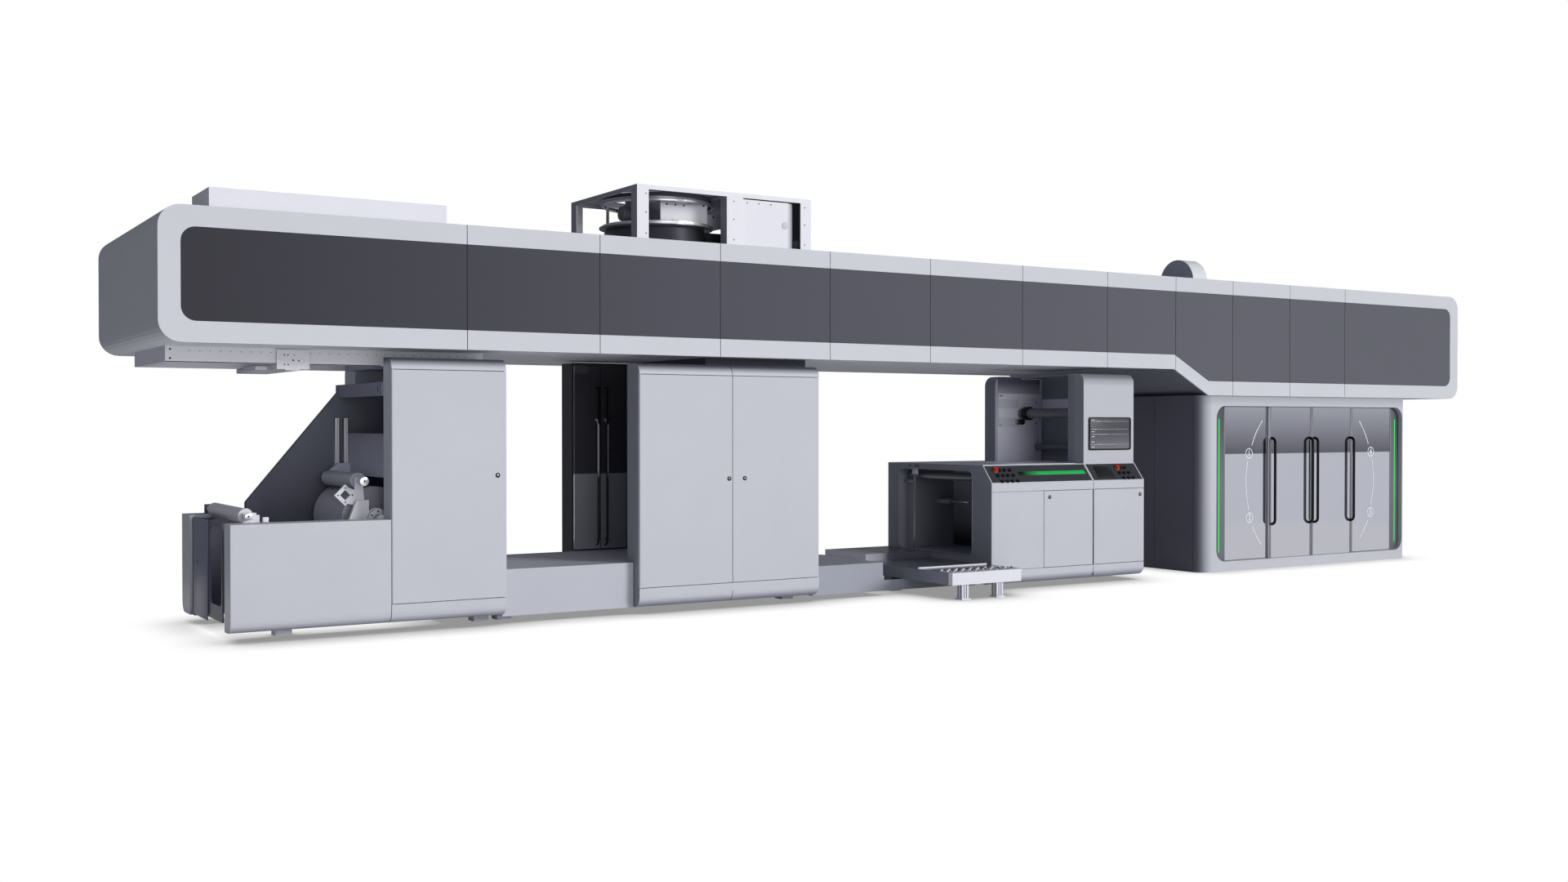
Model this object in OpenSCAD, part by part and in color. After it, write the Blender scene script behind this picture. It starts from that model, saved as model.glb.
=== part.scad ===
// Central impression flexo press: unwinder, walkway cabinets, rewinder with consoles,
// print unit cabin and the long bridge housing that carries the web over them.
// X runs along the machine from the unwinder, Y from the operator's side to the back,
// Z up from the floor.  All sizes are in millimetres.

/* [Bridge housing] */
// Length of the overhead bridge housing
bridge_len = 15785; // [15200:5:16600]
// Depth of the bridge housing, front to back
bridge_depth = 2780; // [2500:10:3000]
// Height of the housing's flat top above the floor
bridge_top = 3315; // [3250:5:3450]
// Height of the housing's underside above the floor
bridge_under = 2290; // [2270:5:2330]
// How far the deep section over the print unit hangs below the rest
bridge_drop = 285; // [200:5:320]
// Length of the sloping step into the deep section
slope_len = 545; // [300:5:700]
// Radius of the housing's outer corners
bridge_corner = 165; // [60:5:240]
// Thickness of the pale skin panels
skin_t = 20; // [12:1:40]
// Width of the pale border round the dark band
border_w = 160; // [100:5:220]
// Length of the first panel, at the unwinder end
first_panel = 2390; // [2000:10:2600]
// Length of each of the six middle panels
middle_panel = 1200; // [1150:5:1240]
// Width of the seam between panels
seam_w = 6; // [4:1:12]

/* [Roof] */
// Length of the tray on the roof
tray_len = 1914; // [1200:10:2000]
// Depth of the tray
tray_depth = 630; // [400:10:800]
// Height of the tray
tray_h = 203; // [120:5:260]
// Length of the fan's frame
fan_frame_len = 1853; // [1700:5:2100]
// Depth of the fan's frame
fan_frame_depth = 1400; // [1250:5:1600]
// Height of the fan's frame above the roof
fan_frame_h = 505; // [420:5:600]
// Width of the frame's angle posts
fan_post_w = 117; // [90:1:140]
// Outer radius of the fan's ring flanges
fan_ring_r = 525; // [430:5:540]
// Radius of the round duct hood
hood_r = 255; // [180:5:320]
// Length of the round duct hood
hood_len = 230; // [150:5:400]

/* [Unwinder] */
// Where the unwinder's covers start, from the bridge's end
unwind_x = 508; // [480:1:560]
// Length of the unwinder's low covers
unwind_len = 1245; // [1235:1:1300]
// Height of the low covers' top
low_cover_top = 915; // [890:5:925]
// Gap under the covers
cover_gap = 80; // [60:5:100]
// Thickness of the front covers
cover_depth = 205; // [180:5:220]
// Radius of the covers' long edges
cover_edge = 100; // [60:5:110]
// Radius of the low covers' top edge
low_edge = 8; // [4:1:20]
// Depth of the lower machine, front to back
machine_depth = 1800; // [1780:5:1900]
// Inner face of the far side frame
far_frame_y = 1400; // [1390:5:1420]
// Radius of the web roll
roll_r = 262; // [200:1:265]
// Radius of the lay-on roller
lay_on_r = 64; // [50:1:66]
// Radius of the idler roller at the infeed
idler_r = 58; // [30:1:60]

/* [Unwinder cabinet] */
// Width of the tall cabinet beside the unwinder
column_w = 974; // [940:2:1000]
// Height of the tall cabinets' top
cabinet_top = 2218; // [2200:2:2236]
// Height of the seam above the doors
door_top = 2122; // [2100:2:2124]
// Height of the seam below the doors
door_bottom = 232; // [200:2:260]
// Thickness of the doors
door_t = 26; // [22:1:34]
// Running gap round the doors
door_gap = 6; // [5.5:0.5:8]

/* [Walkway and middle cabinet] */
// Length of the walkway between the cabinets
walk_len = 1241; // [1200:5:1300]
// Height of the walkway's deck
walk_top = 455; // [400:5:470]
// Depth of the walkway's deck
walk_depth = 1390; // [1340:5:1400]
// Width of the middle cabinet
middle_w = 1896; // [1840:4:1920]
// Depth of the middle cabinet
middle_depth = 240; // [220:5:260]
// Length of the low platform behind the middle cabinet
platform_len = 826; // [780:2:840]
// Height of the low platform
platform_top = 323; // [300:1:340]
// Width of each dark glass door
glass_door_w = 285; // [270:1:320]

/* [Rewinder and consoles] */
// Gap from the platform to the rewinder's base
base_gap = 260; // [200:5:280]
// Length of the base in front of the rewinder's portal
base_len = 900; // [860:5:960]
// Height of the base's top
base_top = 265; // [250:1:280]
// Thickness of the base slab
base_t = 117; // [90:1:130]
// How far the roll table reaches out to the front
table_reach = 650; // [560:5:720]
// Width of the left console
console_left_w = 1395; // [1340:5:1420]
// Width of the right console
console_right_w = 740; // [700:5:780]
// How far the consoles stand out in front
console_out = 150; // [120:5:180]
// Height of the console's flat top
console_top = 1260; // [1240:5:1280]
// Drop of the sloping control panel
panel_drop = 180; // [150:5:190]
// Radius of the rewinder's roller
rewind_r = 42; // [30:1:50]
// Radius of the tower's winding shaft
shaft_r = 55; // [40:1:60]

/* [Print unit] */
// Gap from the consoles to the print unit
aisle = 1055; // [1000:5:1090]
// Width of the print unit's cabin
print_w = 3650; // [3600:10:3900]
// Width of the glazed front
glazed_w = 3366; // [3300:2:3400]
// Height of the cabin's front above the glazing
glazed_head = 118; // [90:1:200]
// Sill of the glazed front above the floor
glazed_sill = 107; // [90:1:130]
// Corner radius of the glazed front
glazed_corner = 140; // [60:5:150]
// Width of the light strip at each end of the glazed front
strip_w = 160; // [150:1:200]
// Length of the door pulls
pull_len = 1010; // [600:10:1200]
// How far the door pulls stand off the glass
pull_out = 58; // [50:1:90]

/* [Hidden] */
$fn = 48;

// Clearances
fit = 0.3;              // between a journal and its bore, and between a runner and its rail
clear = 8;              // between a moving piece and its neighbours
slit = 6;               // seam between fixed covers
seam_deep = 12;         // depth of a seam that is only a groove
pin_r = 6;              // radius of the doors' pivot pins
pin_h = 24;             // how far a pivot pin enters its door

// Stations along X
column_x = unwind_x + unwind_len;
walk_x = column_x + column_w;
middle_x = walk_x + walk_len;
platform_x = middle_x + middle_w;
base_x = platform_x + platform_len + base_gap;
portal_x = base_x + base_len;
split_x = portal_x + console_left_w;
console_end = split_x + console_right_w;
print_x = console_end + aisle;
slope_x = print_x - 430;
deep_under = bridge_under - bridge_drop;

// Middle of the whole machine, which the origin stands under
mid_x = bridge_len / 2;
mid_y = (bridge_depth - table_reach) / 2;
module seat() translate([-mid_x, -mid_y, 0]) children();

// Small building blocks
module block(a, b) translate(a) cube(b - a);
module rod_x(y, z, x0, x1, r) translate([x0, y, z]) rotate([0, 90, 0]) cylinder(r = r, h = x1 - x0);
module rod_y(x, z, y0, y1, r) translate([x, y0, z]) rotate([-90, 0, 0]) cylinder(r = r, h = y1 - y0);
module rod_z(x, y, z0, z1, r) translate([x, y, z0]) cylinder(r = r, h = z1 - z0);
// A prism along Y from an outline of [x, z] points
module along_y(points, y0, y1)
    translate([0, y1, 0]) rotate([90, 0, 0]) linear_extrude(y1 - y0) polygon(points);
// A prism along X from an outline of [y, z] points
module along_x(points, x0, x1)
    translate([x0, 0, 0]) rotate([90, 0, 90]) linear_extrude(x1 - x0) polygon(points);
// Points on an arc from angle a0 to a1, and an outline with four round corners
function arc(c, r, a0, a1, n = 8) =
    [for (i = [0:n]) c + r * [cos(a0 + (a1 - a0) * i / n), sin(a0 + (a1 - a0) * i / n)]];
function round_rect(x0, z0, x1, z1, r) = concat(
    arc([x0 + r, z0 + r], r, 180, 270), arc([x1 - r, z0 + r], r, 270, 360),
    arc([x1 - r, z1 - r], r, 0, 90), arc([x0 + r, z1 - r], r, 90, 180));
// Section of a cover whose two outer long edges are round, with its outer face at y0
function cover_section(y0, y1, z0, z1, r, top_r) = concat(
    [[y1, z1], [y1, z0]],
    arc([y0 + sign(y1 - y0) * r, z0 + r], r, 270, y1 > y0 ? 180 : 360),
    arc([y0 + sign(y1 - y0) * top_r, z1 - top_r], top_r, y1 > y0 ? 180 : 0, 90));

// ---- Bridge housing ----
panel_lens = [first_panel, middle_panel, middle_panel, middle_panel, middle_panel, middle_panel,
    middle_panel, 1040, 925, 980, 1000];
function sum_to(v, n) = n == 0 ? 0 : v[n - 1] + sum_to(v, n - 1);
panel_x = concat([for (i = [0:len(panel_lens)]) sum_to(panel_lens, i)], [bridge_len]);
// Side view of the housing, drawn in from its edges by inset
function bridge_outline(inset, r) = concat(
    arc([inset + r, bridge_under + inset + r], r, 180, 270),
    [[slope_x, bridge_under + inset], [slope_x + slope_len, deep_under + inset]],
    arc([bridge_len - inset - r, deep_under + inset + r], r, 270, 360),
    arc([bridge_len - inset - r, bridge_top - inset - r], r, 0, 90),
    arc([inset + r, bridge_top - inset - r], r, 90, 180));
band_corner = max(bridge_corner - 55, 20);
module panel_bay(i, y0, y1, gap)
    block([panel_x[i] + (i == 0 ? -1 : gap / 2), y0 - 1, 0],
        [panel_x[i + 1] - (i == len(panel_lens) ? -1 : gap / 2), y1 + 1, bridge_top + 1]);
module skin_panels(y0, y1, cut_band)
    for (i = [0:len(panel_lens)])
        intersection() {
            difference() {
                along_y(bridge_outline(0, bridge_corner), y0, y1);
                if (cut_band) along_y(bridge_outline(border_w, band_corner), y0 - 1, y1 + 1);
            }
            panel_bay(i, y0, y1, seam_w);
        }
module bridge_body() color("#55565f") seat()
    along_y(bridge_outline(0, bridge_corner), skin_t, bridge_depth - skin_t);
module bridge_front_panels() color("#cfd0d6") seat() skin_panels(0, skin_t, true);
module bridge_front_band() color("#4c4b52") seat()
    for (i = [0:len(panel_lens)])
        intersection() {
            along_y(bridge_outline(border_w, band_corner), 3, skin_t);
            panel_bay(i, 0, skin_t, seam_w);
        }
module bridge_rear_panels() color("#cfd0d6") seat()
    skin_panels(bridge_depth - skin_t, bridge_depth, false);

// ---- Roof ----
tray_x = 447;
tray_y = 400;
module roof_tray() color("#dcdde2") seat()
    block([tray_x, tray_y, bridge_top], [tray_x + tray_len, tray_y + tray_depth, bridge_top + tray_h]);
fan_x = 4048;
fan_y = 200;
fan_end = fan_x + fan_frame_len;
fan_back = fan_y + fan_frame_depth;
fan_top = bridge_top + fan_frame_h;
fan_mid_x = fan_x + 925;            // left side of the middle posts
angle_t = 12;                       // thickness of the frame's angle sections
rail_h = 40;                        // height of the frame's top rails
roof_sheet_t = 6;
module angle_post(x, y, sx, sy, w) {
    block([min(x, x + sx * w), min(y, y + sy * angle_t), bridge_top],
        [max(x, x + sx * w), max(y, y + sy * angle_t), fan_top]);
    block([min(x, x + sx * angle_t), min(y, y + sy * fan_post_w), bridge_top],
        [max(x, x + sx * angle_t), max(y, y + sy * fan_post_w), fan_top]);
}
module fan_frame() color("#e4e4ea") seat() {
    for (front = [true, false]) {
        y = front ? fan_y : fan_back;
        s = front ? 1 : -1;
        angle_post(fan_x, y, 1, s, fan_post_w);
        angle_post(fan_end, y, -1, s, fan_post_w);
        angle_post(fan_mid_x, y, 1, s, 1.5 * fan_post_w);
        block([fan_x, min(y, y + s * angle_t), fan_top - rail_h],
            [fan_end, max(y, y + s * angle_t), fan_top]);
    }
    for (x = [fan_x, fan_mid_x])
        block([x, fan_y, fan_top - rail_h], [x + angle_t, fan_back, fan_top]);
    block([fan_end - angle_t, fan_y, bridge_top], [fan_end, fan_back, fan_top]);
    difference() {
        block([fan_x, fan_y, fan_top - roof_sheet_t], [fan_end, fan_back, fan_top]);
        rod_z(ring_x, ring_y, fan_top - roof_sheet_t - 1, fan_top + 1, fan_ring_r - ring_w);
    }
}
ring_y = (fan_y + fan_back) / 2;
ring_x = fan_x + angle_t + fan_ring_r + 6;
ring_t = 14;
ring_w = 60;
fan_hood_h = 215;
motor_box = [150, 400, 340, 200];   // reach of the motor's box from the fan's axis: left, front, right, back
drive_box = [585, 250, 150, 135];   // the lower box beside it: right, front, back, height over the ring
lower_ring_z = bridge_top + fan_hood_h;
upper_ring_z = fan_top - rail_h - 28;
module ring(z0, h, r, w)
    difference() {
        rod_z(ring_x, ring_y, z0, z0 + h, r);
        rod_z(ring_x, ring_y, z0 - 1, z0 + h + 1, r - w);
    }
module fan_housing() color("#8c8d96") seat() {
    translate([ring_x, ring_y, bridge_top])
        cylinder(r1 = fan_ring_r, r2 = fan_ring_r - ring_w, h = lower_ring_z - ring_t - bridge_top);
    ring(lower_ring_z - ring_t, ring_t, fan_ring_r, ring_w);
    for (a = [45:90:315])
        translate([ring_x, ring_y, 0]) rotate(a)
            block([fan_ring_r - ring_w, -30, lower_ring_z], [fan_ring_r - ring_w + 10, 30, upper_ring_z]);
    ring(upper_ring_z, ring_t, fan_ring_r, ring_w);
    rod_z(ring_x, ring_y, lower_ring_z - ring_t, lower_ring_z + 40, 130);
    block([ring_x - motor_box[0], ring_y - motor_box[1], lower_ring_z + 10],
        [ring_x + motor_box[2], ring_y + motor_box[3], upper_ring_z - 10]);
    block([ring_x + motor_box[2] - 20, ring_y - drive_box[1], lower_ring_z + 10],
        [ring_x + drive_box[0], ring_y + drive_box[2], lower_ring_z + drive_box[3]]);
}
duct_r = 150;
duct_t = 25;
duct_return = 330;
module fan_duct() color("#dfe0e6") seat() {
    x0 = fan_mid_x + angle_t + 4;
    x1 = fan_end - angle_t - 120;
    y0 = fan_y + angle_t + 2;
    difference() {
        translate([0, 0, bridge_top]) linear_extrude(fan_frame_h - rail_h - 10)
            polygon(concat([[x0, y0 + duct_t], [x0, y0]],
                arc([x1 - duct_r, y0 + duct_r], duct_r, 270, 360),
                [[x1, y0 + duct_return], [x1 - duct_t, y0 + duct_return]],
                arc([x1 - duct_r, y0 + duct_r], duct_r - duct_t, 360, 270)));
        rod_y(x1 - duct_r, bridge_top + 240, y0 - 1, y0 + 40, 30);
    }
}
hood_x = print_x + 190;
hood_y = 555;
module roof_hood() color("#5a5b64") seat()
    difference() {
        rod_x(hood_y, bridge_top + 15, hood_x, hood_x + hood_len, hood_r);
        block([hood_x - 1, hood_y - hood_r - 1, bridge_top - hood_r],
            [hood_x + hood_len + 1, hood_y + hood_r + 1, bridge_top]);
    }

// ---- Hoist under the bridge's left end ----
rail_x0 = 158;
rail_x1 = column_x + 1000;
rail_front = 600;
rail_back = 1940;
rail_w = 80;
rail_deep = 127;
rail_z = bridge_under - rail_deep;
groove = 12;
trolley_x = 1000;
trolley_w = 260;
wheel_r = 25;
groove_in = 35;         // from the rail's lower and upper edges to its groove
hang = 40;              // how far the trolley hangs below the rails
wheel_z = rail_z + groove_in + wheel_r + fit;
// Long rail with a running groove along its face at groove_y
module rail_beam(y, groove_y)
    difference() {
        block([rail_x0 + rail_w, y, rail_z], [rail_x1, y + rail_w, bridge_under]);
        block([rail_x0, groove_y - groove, rail_z + groove_in],
            [rail_x1 + 1, groove_y + groove, bridge_under - groove_in]);
    }
module hoist_rails() color("#a7a9b0") seat() {
    rail_beam(rail_front, rail_front);
    rail_beam(rail_back - rail_w, rail_back);
    block([rail_x0, rail_front, rail_z], [rail_x0 + rail_w, rail_back, bridge_under]);
}
module hoist_trolley() color("#8f9199") seat() {
    for (y = [rail_front - clear - 20, rail_back + clear])
        block([trolley_x, y, rail_z - hang], [trolley_x + trolley_w, y + 20, bridge_under - clear]);
    block([trolley_x, rail_front - clear - 20, rail_z - hang],
        [trolley_x + trolley_w, rail_back + clear + 20, rail_z - clear]);
    for (x = [trolley_x + 50, trolley_x + trolley_w - 50]) {
        rod_y(x, wheel_z, rail_front - clear - 1, rail_front + groove - 1, wheel_r);
        rod_y(x, wheel_z, rail_back - groove + 1, rail_back + clear + 1, wheel_r);
    }
    block([trolley_x - 90, rail_front + 300, rail_z - hang], [trolley_x, rail_front + 700, rail_z - clear]);
}

// ---- Feet ----
foot_w = 130;
foot_y = 360;
first_foot = 420;
module foot(x, y) block([x, y, 0], [x + foot_w, y + foot_w, cover_gap]);
module machine_feet() color("#d5d6dc") seat() {
    for (x = [unwind_x + first_foot, column_x + column_w - foot_w - 20], y = [foot_y, far_frame_y - foot_w])
        foot(x, y);
    for (x = [walk_x + 60, platform_x - foot_w - 60], y = [foot_y, far_frame_y - foot_w])
        block([x, y, 0], [x + foot_w, y + foot_w, walk_under]);
    for (x = [portal_x + 80, console_end - foot_w - 80], y = [foot_y, far_frame_y - foot_w])
        block([x, y, 0], [x + foot_w, y + foot_w, housing_z]);
}

// ---- Unwinder ----
unwind_end = column_x - slit;
housing_x = column_x + 547;         // start of the closed housing behind the tall cabinet
near_frame_y = 330;
near_frame_t = 40;
rear_cover_d = 320;
rear_cover_y = machine_depth - rear_cover_d;
far_frame_t = rear_cover_y - far_frame_y;
roll_x = column_x - 18;
roll_z = 905;
roll_y0 = 410;
roll_y1 = 1250;
journal_r = 34;
lay_on_x = roll_x - 130;
lay_on_z = roll_z + 312;
lay_on_journal = 16;
idler_x = unwind_x + 200;
idler_z = 958;
idler_journal = 15;
idler_neck = 26;        // radius where the idler passes over the rear cover
module unwind_covers() color("#c0c1c9") seat() {
    along_x(cover_section(0, cover_depth, cover_gap, low_cover_top, cover_edge, low_edge),
        unwind_x, unwind_end);
    along_x(cover_section(machine_depth, rear_cover_y, cover_gap, low_cover_top, cover_edge, low_edge),
        unwind_x, unwind_end);
}
module unwind_near_frame() color("#c9cad1") seat()
    difference() {
        union() {
            block([unwind_x + 60, near_frame_y, cover_gap],
                [housing_x, near_frame_y + near_frame_t, low_cover_top - 55]);
            along_y([[roll_x - 245, low_cover_top - 55], [roll_x - 165, roll_z + 155],
                [roll_x - 65, roll_z + 155], [roll_x - 65, low_cover_top - 55]],
                near_frame_y, near_frame_y + near_frame_t);
            rod_y(roll_x, roll_z, near_frame_y, near_frame_y + near_frame_t, 90);
            block([idler_x - 30, near_frame_y, cover_gap],
                [idler_x + 70, near_frame_y + near_frame_t, idler_z + 25]);
            rod_y(roll_x - 125, roll_z + 137, near_frame_y + near_frame_t, near_frame_y + near_frame_t + 5, 16);
            block([unwind_x + 60, cover_depth, cover_gap], [housing_x, near_frame_y, 200]);
        }
        rod_y(roll_x, roll_z, near_frame_y - 1, near_frame_y + near_frame_t + 1, journal_r + fit);
        rod_y(idler_x, idler_z, near_frame_y - 1, near_frame_y + near_frame_t + 1, idler_journal + fit);
    }
frame_dip = idler_z - idler_r - clear;  // top of the end plate and far frame under the idler
gusset_x = 442;         // where the far frame starts to slope up
beam_z0 = 1910;         // crosshead's beam
beam_z1 = 2022;
idler_end = rear_cover_y + 190;
end_plate_t = 12;
end_plate_z0 = 130;
end_plate_y0 = near_frame_y + near_frame_t + 2;
module unwind_far_frame() color("#4a4c55") seat() {
    difference() {
        block([unwind_x + 20, end_plate_y0, end_plate_z0],
            [unwind_x + 20 + end_plate_t, far_frame_y, low_cover_top - 10]);
        along_x(round_rect(end_plate_y0 + 30, end_plate_z0 + 120, end_plate_y0 + 430, low_cover_top - 40, 60),
            unwind_x, unwind_x + 40);
    }
    difference() {
        along_y([[unwind_x + 20, cover_gap], [column_x + column_w - 10, cover_gap],
            [column_x + column_w - 10, beam_z1], [column_x - 20, beam_z1],
            [column_x - 20, beam_z1 - 67], [unwind_x + gusset_x, low_cover_top + 100],
            [unwind_x + gusset_x, low_cover_top - 10], [idler_x + idler_r + 20, low_cover_top - 10],
            [idler_x + idler_r + 20, frame_dip], [unwind_x + 20, frame_dip]],
            far_frame_y, far_frame_y + far_frame_t);
        rod_y(roll_x, roll_z, far_frame_y - 1, far_frame_y + 41, journal_r + fit);
    }
    difference() {
        block([idler_x - 35, idler_end + clear, low_cover_top],
            [idler_x + 35, idler_end + clear + 40, idler_z + 35]);
        rod_y(idler_x, idler_z, idler_end, idler_end + 60, idler_journal + fit);
    }
}
module unwind_roll() color("#4b4b50") seat() {
    rod_y(roll_x, roll_z, roll_y0, roll_y1, roll_r);
    rod_y(roll_x, roll_z, 222, far_frame_y + 40 - fit, journal_r);
    rod_y(roll_x, roll_z, near_frame_y - clear - 22, near_frame_y - clear, 80);
}
module lay_on_roller() color("#57575d") seat() {
    rod_y(lay_on_x, lay_on_z, roll_y0, roll_y1, lay_on_r);
    rod_y(lay_on_x, lay_on_z, roll_y0 - 60, roll_y1 + 40, lay_on_journal);
}
arm_t = 25;
tie_x = lay_on_x - 115;
tie_z = lay_on_z - 115;
tie_half = 62;
tie_inner = 30;
module tie_bar(half, y0, y1)
    translate([tie_x, y0, tie_z]) rotate([0, 45, 0]) block([-half, 0, -half], [half, y1 - y0, half]);
module arm(y)
    translate([0, y + arm_t, 0]) rotate([90, 0, 0]) linear_extrude(arm_t) {
        translate([tie_x, tie_z]) rotate(45) square(2 * tie_half, center = true);
        polygon([[tie_x - 20, tie_z - 60], [tie_x + 70, tie_z - 82], [tie_x + 155, tie_z - 82],
            [tie_x + 155, tie_z - 25], [lay_on_x + 34, tie_z + 20], [lay_on_x + 34, lay_on_z + 28],
            [lay_on_x - 34, lay_on_z + 28], [lay_on_x - 40, tie_z + 40], [tie_x + 10, tie_z + 70]]);
    }
near_arm_y = near_frame_y + near_frame_t + 5;
far_arm_y = roll_y1 + 10;
module lay_on_arms() color("#d2d3da") seat()
    difference() {
        arm(near_arm_y);
        tie_bar(tie_inner, near_arm_y - 1, near_arm_y + arm_t + 1);
        rod_y(lay_on_x, lay_on_z, near_arm_y - 1, near_arm_y + arm_t + 1, lay_on_journal + fit);
    }
module idler_roller() color("#57575d") seat() {
    rod_y(idler_x, idler_z, near_frame_y + near_frame_t + clear, rear_cover_y - clear, idler_r);
    rod_y(idler_x, idler_z, near_frame_y + near_frame_t + clear, idler_end, idler_neck);
    rod_y(idler_x, idler_z, near_frame_y - 30, idler_end + clear + 50, idler_journal);
}

// ---- Tall cabinets ----
wall = 30;              // walls of the cabinets
// Shell with a pocket for its doors, a cavity behind them, and pivot pins at each hinge
module cabinet(x0, x1, y1, z0, z1, hinges)
    union() {
        difference() {
            along_x(cover_section(0, y1, z0, z1, cover_edge, cover_edge), x0, x1);
            block([x0 - 1, -1, door_bottom], [x1 + 1, door_t + door_gap, door_top]);
            block([x0 + wall, door_t, door_bottom + 20], [x1 - wall, y1 - wall, door_top - 20]);
        }
        for (x = hinges) {
            rod_z(x, door_t / 2, door_bottom - 1, door_bottom + door_gap + pin_h, pin_r);
            rod_z(x, door_t / 2, door_top - door_gap - pin_h, door_top + 1, pin_r);
        }
    }
// Door leaf from its hinge axis to its free edge, with pivot bores at its ends
module leaf(hinge, free, y0, z0, z1)
    difference() {
        union() {
            block([min(hinge, free), y0, z0], [max(hinge, free), y0 + door_t, z1]);
            rod_z(hinge, y0 + door_t / 2, z0, z1, door_t / 2);
        }
        for (z = [z0 - 1, z1 - pin_h - 1])
            rod_z(hinge, y0 + door_t / 2, z, z + pin_h + 2, pin_r + fit);
    }
leaf_z0 = door_bottom + door_gap;
leaf_z1 = door_top - door_gap;
column_end = column_x + column_w;
module column_cabinet() color("#c0c1c9") seat()
    cabinet(column_x, column_end, cover_depth, cover_gap, cabinet_top, [column_x + door_t / 2]);
module column_door() color("#c4c5cc") seat()
    leaf(column_x + door_t / 2, column_end, 0, leaf_z0, leaf_z1);
cross_x = column_x - 17;
plate_z0 = 1240;        // plate behind the rolls
plate_z1 = 1600;
guide_z0 = 1300;        // vertical guides of the lay-on unit
guide_z1 = 1730;
guide_w = 28;
guide_out = 60;
guide_x0 = roll_x - 45;
guide_x1 = roll_x + 60;
module column_crosshead() color("#4a4c55") seat() {
    block([cross_x, cover_depth, beam_z0], [cross_x + 60, far_frame_y, beam_z1]);
    block([cross_x + 60, cover_depth, plate_z0], [cross_x + 120, far_frame_y, plate_z1]);
    block([housing_x, cover_depth, cover_gap], [column_end - 10, far_frame_y, rail_z - 20]);
    block([cross_x + 60, cover_depth, beam_z0], [housing_x, cover_depth + 100, rail_z - 20]);
    block([column_x + 60, rail_front + rail_w + clear, rail_z - 20],
        [column_end - 10, far_frame_y, bridge_under]);
    difference() {
        along_y([[lay_on_x - 32, lay_on_z - 32], [guide_x0, lay_on_z - 32], [guide_x1, lay_on_z + 10],
            [guide_x1, guide_z0 + 40], [guide_x0, guide_z0 + 40], [lay_on_x - 32, lay_on_z + 32]],
            far_arm_y, far_arm_y + arm_t);
        rod_y(lay_on_x, lay_on_z, far_arm_y - 1, far_arm_y + arm_t + 1, lay_on_journal + fit);
    }
    block([guide_x0, far_arm_y + arm_t, guide_z0 - 30], [guide_x1, far_frame_y - guide_out, guide_z0 + 40]);
    block([cross_x + 120, cover_depth, plate_z0], [housing_x, cover_depth + 60, plate_z1]);
    for (x = [guide_x0, guide_x1 - guide_w])
        block([x, far_frame_y - guide_out, guide_z0], [x + guide_w, far_frame_y, guide_z1]);
}
rear_column_in = 155;
module column_rear_cover() color("#c0c1c9") seat()
    along_x(cover_section(machine_depth, rear_cover_y, cover_gap, cabinet_top, cover_edge, cover_edge),
        column_x + rear_column_in, column_end);

// ---- Walkway, middle and rear cabinets ----
walk_front = 110;
walk_under = 60;
walk_back = walk_front + walk_depth;
module walkway() color("#b9bac3") seat()
    difference() {
        block([walk_x + slit, walk_front, walk_under], [platform_x - slit, walk_back, walk_top]);
        block([middle_x - slit, walk_front - 1, walk_under - 1], [platform_x, middle_depth, walk_top + 1]);
    }
middle_end = middle_x + middle_w;
middle_z0 = 61;
middle_split = middle_x + middle_w / 2;
module middle_cabinet() color("#c0c1c9") seat()
    difference() {
        cabinet(middle_x, middle_end, middle_depth, middle_z0, cabinet_top,
            [middle_x + door_t / 2, middle_end - door_t / 2]);
        for (z = [[middle_z0 - 1, middle_z0 + cover_edge], [cabinet_top - cover_edge, cabinet_top + 1]])
            block([middle_split - slit / 2, -1, z[0]], [middle_split + slit / 2, cover_edge, z[1]]);
    }
module middle_door_left() color("#c4c5cc") seat()
    leaf(middle_x + door_t / 2, middle_split - door_gap / 2, 0, leaf_z0, leaf_z1);
module middle_door_right() color("#c4c5cc") seat()
    leaf(middle_end - door_t / 2, middle_split + door_gap / 2, 0, leaf_z0, leaf_z1);
rear_x = middle_x + 52;
rear_y = walk_back;
rear_depth = 265;
rear_top = bridge_under - 22;
glass_bottom = walk_top + 16;
glass_top = rear_top - 16;
glass_end = rear_x + 2 * glass_door_w + door_gap;
module rear_cabinet() color("#26272b") seat() {
    difference() {
        block([rear_x, rear_y, walk_under], [middle_end, rear_y + rear_depth, rear_top]);
        block([rear_x - 1, rear_y - 1, glass_bottom - door_gap],
            [glass_end + door_gap, rear_y + door_t + door_gap, glass_top + door_gap]);
        block([rear_x + wall, rear_y + door_t, glass_bottom + 20],
            [glass_end - wall, rear_y + rear_depth - wall, glass_top - 20]);
    }
    for (x = [rear_x + door_t / 2, glass_end - door_t / 2]) {
        rod_z(x, rear_y + door_t / 2, glass_bottom - door_gap - 1, glass_bottom + pin_h, pin_r);
        rod_z(x, rear_y + door_t / 2, glass_top - pin_h, glass_top + door_gap + 1, pin_r);
    }
}
core_in = 800;          // from the middle cabinet's left side to the closed housing behind it
core_x = middle_x + core_in;
module middle_housing() color("#3d3e46") seat()
    block([core_x, middle_depth, walk_top], [middle_end, rear_y, bridge_under]);
glass_split = rear_x + glass_door_w + door_gap / 2;
loop_out = 60;
loop_r = 9;
module loop_pull(x, y, z0, z1) {
    for (z = [z0, z1])
        rod_y(x, z, y - loop_out, y + 4, loop_r);
    rod_z(x, y - loop_out, z0, z1, loop_r);
}
loop_z0 = walk_top + 105;
loop_z1 = door_top - 92;
loop_in = 45;
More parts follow.
